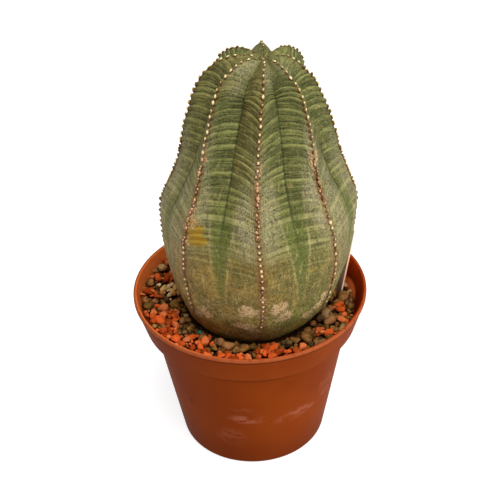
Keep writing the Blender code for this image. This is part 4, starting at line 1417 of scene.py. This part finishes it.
def lay_out_gravel():
    """The frame's places, as (x, y, radius): the granule, bunches of orange chips, pale chips, pebbles."""
    rng = random.Random(GRAVEL_SEED)
    turn = math.radians(TURQUOISE_PLACE[0])
    granule = (TURQUOISE_PLACE[1] * math.sin(turn), -TURQUOISE_PLACE[1] * math.cos(turn), TURQUOISE_RADIUS)
    others = [granule]
    bunches = []
    for azimuth, distance, count in [*ORANGE_BUNCHES, PALE_BUNCH]:
        bunch = grow_bunch(rng, azimuth, distance, count, others)
        others += bunch
        bunches.append(bunch)
    shares = (COLOUR_SHARE, STONE_GAP, PEBBLE_OVERLAP)
    pebbles = throw_stones(rng, PEBBLE_RADII, PEBBLE_THROWS, others, *shares)
    orange = [place for bunch in bunches[:-1] for place in bunch]
    return granule, orange, bunches[-1], pebbles


granule, orange_places, pale_places, pebble_places = lay_out_gravel()
print(len(orange_places), "orange chips,", len(pale_places), "pale chips and", len(pebble_places), "pebbles")

# %% [markdown]
# ### Stones
#
# A stone is a ball cut by a handful of random planes. For a direction d, each plane with normal n and
# distance h allows a radius of h / (d . n), and the stone's surface is the smallest of these. A soft
# minimum rounds the edges: a low power gives a river pebble and a high one a freshly broken chip. The
# whole stone is one numpy expression, so hundreds cost nothing.

# %% Stones
BALL_LEVELS = {"large": 4, "small": 3}
STONE_WAVES = (3.1, 6.7)
STONE_WAVE_HEIGHT = 0.022


def unit_ball(level):
    """The points and faces of an icosphere."""
    work = bmesh.new()
    bmesh.ops.create_icosphere(work, subdivisions=level, radius=1)
    points = np.array([vertex.co for vertex in work.verts])
    faces = np.array([[vertex.index for vertex in face.verts] for face in work.faces])
    work.free()
    return points, faces


BALLS = {name: unit_ball(level) for name, level in BALL_LEVELS.items()}

# How one kind of stone is cut from a ball.
Cut = namedtuple("Cut", "planes power reach narrow squash tilt")
PEBBLE_CUT = Cut(planes=10, power=8, reach=(0.6, 0.95), narrow=(0.72, 0.98), squash=(0.62, 0.9), tilt=0.5)
CHIP_CUT = Cut(planes=9, power=16, reach=(0.5, 0.9), narrow=(0.55, 0.88), squash=(0.5, 0.8), tilt=0.7)


def cut_stone(rng, ball, cut):
    """A ball cut by random planes, squashed and tipped, with a plan radius of 1."""
    normals = rng.normal(size=(cut.planes, 3))
    normals /= np.linalg.norm(normals, axis=1)[:, None]
    reach = rng.uniform(*cut.reach, cut.planes)
    allowed = np.maximum(ball @ normals.T, 0) / reach
    radius = (np.sum(allowed ** cut.power, axis=1) + 1) ** (-1 / cut.power)
    for waves in STONE_WAVES:
        wave = np.sin(waves * (ball @ rng.normal(size=3)) + rng.uniform(0, 6))
        radius = radius * (1 + STONE_WAVE_HEIGHT * wave)
    shape = ball * radius[:, None] * [1, rng.uniform(*cut.narrow), rng.uniform(*cut.squash)]
    tips = rng.uniform(-cut.tilt, cut.tilt, 2)
    tip = Euler((tips[0], tips[1], rng.uniform(0, 2 * math.pi))).to_matrix()
    shape = shape @ np.array(tip).T
    return shape / np.hypot(shape[:, 0], shape[:, 1]).max()


# %% [markdown]
# Each layer of stones is one mesh. A table says how its stones are laid: with which seed and cut, how far
# their middles are lifted, as a share of their radius, how far they are sunk in mm, and from which radius
# on a stone is cut from the finer ball. Beside the pot's left wall a stone moves up and outwards with the
# bank, along the wall's slope.

# %% Layers of stones
LAYERS = {
    "gap_grit": (31, PEBBLE_CUT, (0.1, 0.35), 1.1, 2),
    "river_pebbles": (32, PEBBLE_CUT, (0.1, 0.35), 0, 2),
    "clay_chips": (33, CHIP_CUT, (0.15, 0.45), 0, 2),
    "small_clay_chips": (34, CHIP_CUT, (0.1, 0.4), 0.4, 2),
    "cream_chips": (35, CHIP_CUT, (0.15, 0.5), 0, 2),
    "turquoise_grain": (36, CHIP_CUT, (0.3, 0.5), 0, 1),
}
STONE_SHARP = 38
MAIN_SHARD = 0.8
BIT_TURN = 0.25
BIT_AWAY = (0.7, 0.9)
BIT_SIZES = (0.36, 0.55)


def make_stones(name, places, material):
    """All stones of one layer in one mesh. Each point knows two numbers of its stone and its height on it."""
    seed, cut, lift, sink, large = LAYERS[name]
    rng = np.random.default_rng(seed)
    points = []
    faces = []
    knows = []
    count = 0
    for x, y, radius in places:
        ball, ball_faces = BALLS["large" if radius > large else "small"]
        stone = cut_stone(rng, ball, cut) * radius
        banked = bank(x, y)
        out = 1 + banked * BAND_DRAFT / BAND_HEIGHT / math.hypot(x, y)
        middle = (x * out, y * out, bed_height(x) + banked + rng.uniform(*lift) * radius - sink)
        points.append(stone + middle)
        faces.append(ball_faces + count)
        high = 0.5 + 0.5 * stone[:, 2] / np.abs(stone[:, 2]).max()
        own = [np.full(len(ball), rng.uniform()) for _ in range(2)]
        knows.append(np.stack([*own, high], -1))
        count += len(ball)
    piece = add_piece(name, np.concatenate(points), np.concatenate(faces).tolist(), material, STONE_SHARP)
    store(piece, "stone", "POINT", np.concatenate(knows))
    return piece


def splinter(rng, places, bits):
    """Breaks each chip into a main shard and smaller bits round it, as (x, y, radius)."""
    shards = []
    for x, y, radius in places:
        shards.append((x, y, radius * MAIN_SHARD))
        start = rng.uniform(0, 2 * math.pi)
        for bit in range(bits):
            turn = start + 2 * math.pi * (bit + rng.uniform(-BIT_TURN, BIT_TURN)) / bits
            away = radius * rng.uniform(*BIT_AWAY)
            size = radius * rng.uniform(*BIT_SIZES)
            shards.append((x + away * math.cos(turn), y + away * math.sin(turn), size))
    return shards


# %% [markdown]
# ### The stones' finishes
#
# Pebbles differ from one another more than within themselves, so each stone's own random number picks its
# base colour from a ramp of browns, olives and tans, and noise adds veins and grit. Broken clay is a bright
# orange that is dusty on its edges and darker where it is damp. Every stone is painted darker on its lower
# part, as the shade that falls between the stones.

# %% The stones' finishes
def pebble_finish(name, *stops):
    """Smooth little river stones, each of its own colour from the ramp, with painted shade low down."""
    stone = Finish(name, Specular_IOR_Level=0.06)
    own, other, high = stone.attribute("stone")
    cloud, fine = stone.noise(2.6, 4, 0.6), stone.noise(0.45, 2)
    color = stone.over(
        stone.ramp(own, *stops),
        (stone.step(cloud, 0.5, 0.66) * 0.5, srgb(176, 128, 68)),
        (stone.step(cloud, 0.5, 0.36) * 0.75, srgb(48, 28, 8)),
        (stone.step(fine, 0.6, 0.8) * 0.3, srgb(186, 158, 108)),
        # Painted shade: the lower part of each stone is darker.
        (stone.step(high, 0.62, 0.3) * 0.75, srgb(30, 18, 6)),
    )
    relief = stone.bump(fine, 0.08, stone.bump(cloud, 0.3))
    return stone.paint(Base_Color=color, Roughness=0.42 + fine * 0.2 + other * 0.2, Normal=relief)


def clay_finish(name, bright, deep, dusty):
    """Broken fired clay: one strong colour, deeper where damp, dusty on its grain, painted shade low down."""
    clay = Finish(name, Specular_IOR_Level=0.04)
    own, other, high = clay.attribute("stone")
    cloud, fine = clay.noise(3, 4, 0.6), clay.noise(0.5, 3, 0.7)
    color = clay.over(
        clay.mix(clay.step(own + cloud * 0.6 - 0.3, 0.15, 0.9), bright, deep),
        (clay.step(other, 0.6, 0.9) * 0.6, dusty),
        (clay.step(fine, 0.5, 0.75) * 0.35, dusty),
        (clay.step(fine, 0.38, 0.2) * 0.5, deep),
        # Painted shade: the lower part of each chip is darker.
        (clay.step(high, 0.66, 0.34) * 0.8, srgb(52, 18, 4)),
    )
    relief = clay.bump(fine, 0.14, clay.bump(cloud, 0.3))
    return clay.paint(Base_Color=color, Roughness=0.7 + fine * 0.2, Normal=relief)


PEBBLE_TONES = tones(
    (0.0, 86, 50, 20), (0.18, 142, 95, 50), (0.34, 104, 76, 28), (0.5, 160, 108, 62),
    (0.64, 120, 88, 36), (0.78, 172, 118, 72), (0.9, 80, 62, 38), (1.0, 196, 154, 104),
)
GRIT_TONES = tones((0.0, 48, 28, 8), (0.5, 112, 70, 28), (1.0, 154, 102, 54))
pebble_material = pebble_finish("brown pebbles", *PEBBLE_TONES)
grit_material = pebble_finish("dark grit", *GRIT_TONES)
orange_material = clay_finish("orange chips", srgb(212, 90, 34), srgb(144, 54, 14), srgb(228, 134, 78))
pale_material = clay_finish("pale chips", srgb(222, 176, 110), srgb(190, 118, 56), srgb(240, 216, 170))
turquoise = (srgb(38, 128, 112), srgb(18, 66, 60), srgb(120, 180, 166))
turquoise_material = clay_finish("turquoise granule", *turquoise)

# %% [markdown]
# ### The bed
#
# The stones go down in layers. Under everything lies a rough ground of dark grit, then small stones that
# fill the gaps, then the frame's own chips and pebbles on top, standing proud so that dark gaps show
# between them. Each layer is one piece.

# %% The ground
GROUND_SEED = 3
GROUND_SINK = 2.6
GROUND_ROUGHNESS = 0.5
GROUND_UNDER_STEM = 4
GROUND_FROM_WALL = 0.35
GROUND_RINGS = 40
GROUND_SIDES = 160


def make_ground(material):
    """The rough ground under the stones: a ring from inside the stem to the pot's wall."""
    rng = np.random.default_rng(GROUND_SEED)
    shares = np.linspace(0, 1, GROUND_RINGS)[:, None]
    turns = np.arange(GROUND_SIDES)[None, :] * 2 * np.pi / GROUND_SIDES
    inner = BED_INNER - GROUND_UNDER_STEM
    outer = band_inner_radius(POT_HEIGHT - BAND_HEIGHT + POT_WALL) - GROUND_FROM_WALL
    radius = inner + (outer - inner) * shares
    x, y = radius * np.sin(turns), radius * np.cos(turns)
    rough = rng.uniform(-GROUND_ROUGHNESS, GROUND_ROUGHNESS, x.shape)
    z = bed_height(x) + bank(x, y) - GROUND_SINK + rough
    points = np.stack([x, y, z], -1).reshape(-1, 3)
    faces = []
    for ring in range(GROUND_RINGS - 1):
        for side in range(GROUND_SIDES):
            after = (side + 1) % GROUND_SIDES
            low, high = ring * GROUND_SIDES, (ring + 1) * GROUND_SIDES
            faces.append([low + side, high + side, high + after, low + after])
    return add_piece("gravel_ground", points, faces, material)


dress(make_ground(soil_finish), "brown_pebbles")

# %% [markdown]
# The stones that fill the gaps take after what lies next to them: near an orange chip many of them are
# orange too, most of all at the left. Clay chips are seldom whole, so each orange or cream one breaks into
# a main shard and a few bits.

# %% The stones
FILL_SEED = 21
FILL_RADII = (0.8, 3.2)
FILL_THROWS = 12000
FILL_SHARE = 0.6
FILL_OVERLAP = 0.7
ORANGE_LEFT_OF = -8
ORANGE_AT_LEFT = 0.85
ORANGE_ELSEWHERE = 0.3
ORANGE_BITS = 2
PALE_BITS = 3

top_places = [granule, *orange_places, *pale_places, *pebble_places]
fill_rng = random.Random(FILL_SEED)
fill_places = throw_stones(fill_rng, FILL_RADII, FILL_THROWS, top_places, FILL_SHARE, 0, FILL_OVERLAP)
fill_orange = []
fill_brown = []
for place in fill_places:
    nearest = min(top_places, key=lambda other: math.hypot(place[0] - other[0], place[1] - other[1]))
    likely = ORANGE_AT_LEFT if place[0] < ORANGE_LEFT_OF else ORANGE_ELSEWHERE
    is_orange = nearest in orange_places and fill_rng.random() < likely
    (fill_orange if is_orange else fill_brown).append(place)
print(len(fill_places), "stones fill the gaps")
orange_shards = splinter(fill_rng, orange_places, ORANGE_BITS)
pale_shards = splinter(fill_rng, pale_places, PALE_BITS)
orange_nodes = [f"orange_chips_{bunch:02d}" for bunch in range(1, len(ORANGE_BUNCHES) + 1)]

dress(make_stones("gap_grit", fill_brown, grit_material), "brown_pebbles")
dress(make_stones("river_pebbles", pebble_places, pebble_material), "brown_pebbles", "gravel")
dress(make_stones("clay_chips", orange_shards, orange_material), "orange_chips", *orange_nodes)
dress(make_stones("small_clay_chips", fill_orange, orange_material), "orange_chips")
dress(make_stones("cream_chips", pale_shards, pale_material), "pale_chips", "pale_chips")
grain = make_stones("turquoise_grain", [granule], turquoise_material)
dress(grain, "turquoise_granule", "turquoise_granule")

# %% [markdown]
# ## The plant label
#
# A thin white plastic tag is pushed in behind the stem. Only its bright edge and a sliver of its shaded face
# show from the front. Its outline is flat, so we build one face and give it thickness, then round the edges
# with a bevel. White plastic that has stood in a greenhouse yellows and picks up scratches. The edge towards
# us is painted with light: a pale pink, as a painted reflection of the pot's orange, and a little glow of its
# own.

# %% The plant label
LABEL_THICKNESS = 0.8
LABEL_ABOVE = 38
LABEL_BELOW = 32
LABEL_POINT = 10
LABEL_TIP = 2.4
LABEL_NIP = 1.5
LABEL_LEAN = 10
LABEL_BEVEL = 0.18
LABEL_SHARP = 30
BEVEL_SEGMENTS = 3


def label_plastic():
    """White plastic, a little yellowed and scratched, darker and browner low down, and a painted lit edge."""
    plastic = Finish("label plastic", Coat_Weight=0.1, Emission_Strength=0.5)
    x, y, height = plastic.coordinates()
    turn = math.radians(LABEL_TURN)
    from_edge = (x - LABEL_EDGE[0]) * math.cos(turn) + (y - LABEL_EDGE[1]) * math.sin(turn)
    scratch = plastic.noise(0.8, 3, 0.6, plastic.scaled(1, 1, 0.12))
    cloud = plastic.noise(9, 3)
    # Darker and browner towards the gravel.
    low_darkening = plastic.step(height + cloud * 10, 92, 80)
    # Painted light and reflection: the near edge is pale pink and glows.
    edge = plastic.step(from_edge, 0.5, 0.15) * plastic.step(height, 76, 80) * plastic.step(height, 105, 99)
    color = plastic.over(
        plastic.mix(cloud, srgb(236, 232, 222), srgb(222, 212, 192)),
        (low_darkening * 0.6, srgb(150, 118, 84)),
        (plastic.step(scratch, 0.58, 0.7) * 0.2, srgb(180, 172, 158)),
        (edge, srgb(206, 160, 132)),
    )
    glow = plastic.mix(edge, (0, 0, 0, 1), srgb(255, 196, 160))
    relief = plastic.bump(scratch, 0.04)
    return plastic.paint(Base_Color=color, Emission_Color=glow, Roughness=0.3 + scratch * 0.2, Normal=relief)


def make_label(material):
    """A flat tag with a point in the soil and nipped top corners."""
    turn, lean = math.radians(LABEL_TURN), math.radians(LABEL_LEAN)
    width = Vector((math.cos(turn), math.sin(turn), 0))
    outward = Vector((math.sin(turn), -math.cos(turn), 0))
    length = Vector((0, 0, 1)) * math.cos(lean) + outward * math.sin(lean)
    face = width.cross(length)
    corner = Vector((*LABEL_EDGE, bed_height(LABEL_EDGE[0])))
    outline = [
        ((LABEL_WIDTH - LABEL_TIP) / 2, -LABEL_BELOW),
        ((LABEL_WIDTH + LABEL_TIP) / 2, -LABEL_BELOW),
        (LABEL_WIDTH, LABEL_POINT - LABEL_BELOW),
        (LABEL_WIDTH, LABEL_ABOVE - LABEL_NIP),
        (LABEL_WIDTH - LABEL_NIP, LABEL_ABOVE),
        (LABEL_NIP, LABEL_ABOVE),
        (0, LABEL_ABOVE - LABEL_NIP),
        (0, LABEL_POINT - LABEL_BELOW),
    ]
    count = len(outline)
    points = []
    for side in (-0.5, 0.5):
        start = corner + face * side * LABEL_THICKNESS
        points += [start + width * along + length * up for along, up in outline]
    faces = [list(range(count)), list(range(2 * count - 1, count - 1, -1))]
    faces += [[(i + 1) % count, i, count + i, count + (i + 1) % count] for i in range(count)]
    label = add_piece("label_tag", points, faces, material, LABEL_SHARP)
    face_outwards(label)
    bevel = label.modifiers.new("edges", "BEVEL")
    bevel.width = LABEL_BEVEL * MM
    bevel.segments = BEVEL_SEGMENTS
    label.data = bpy.data.meshes.new_from_object(label.evaluated_get(bpy.context.evaluated_depsgraph_get()))
    label.modifiers.clear()
    return label


dress(make_label(label_plastic()), "label_plastic", "plant_label")
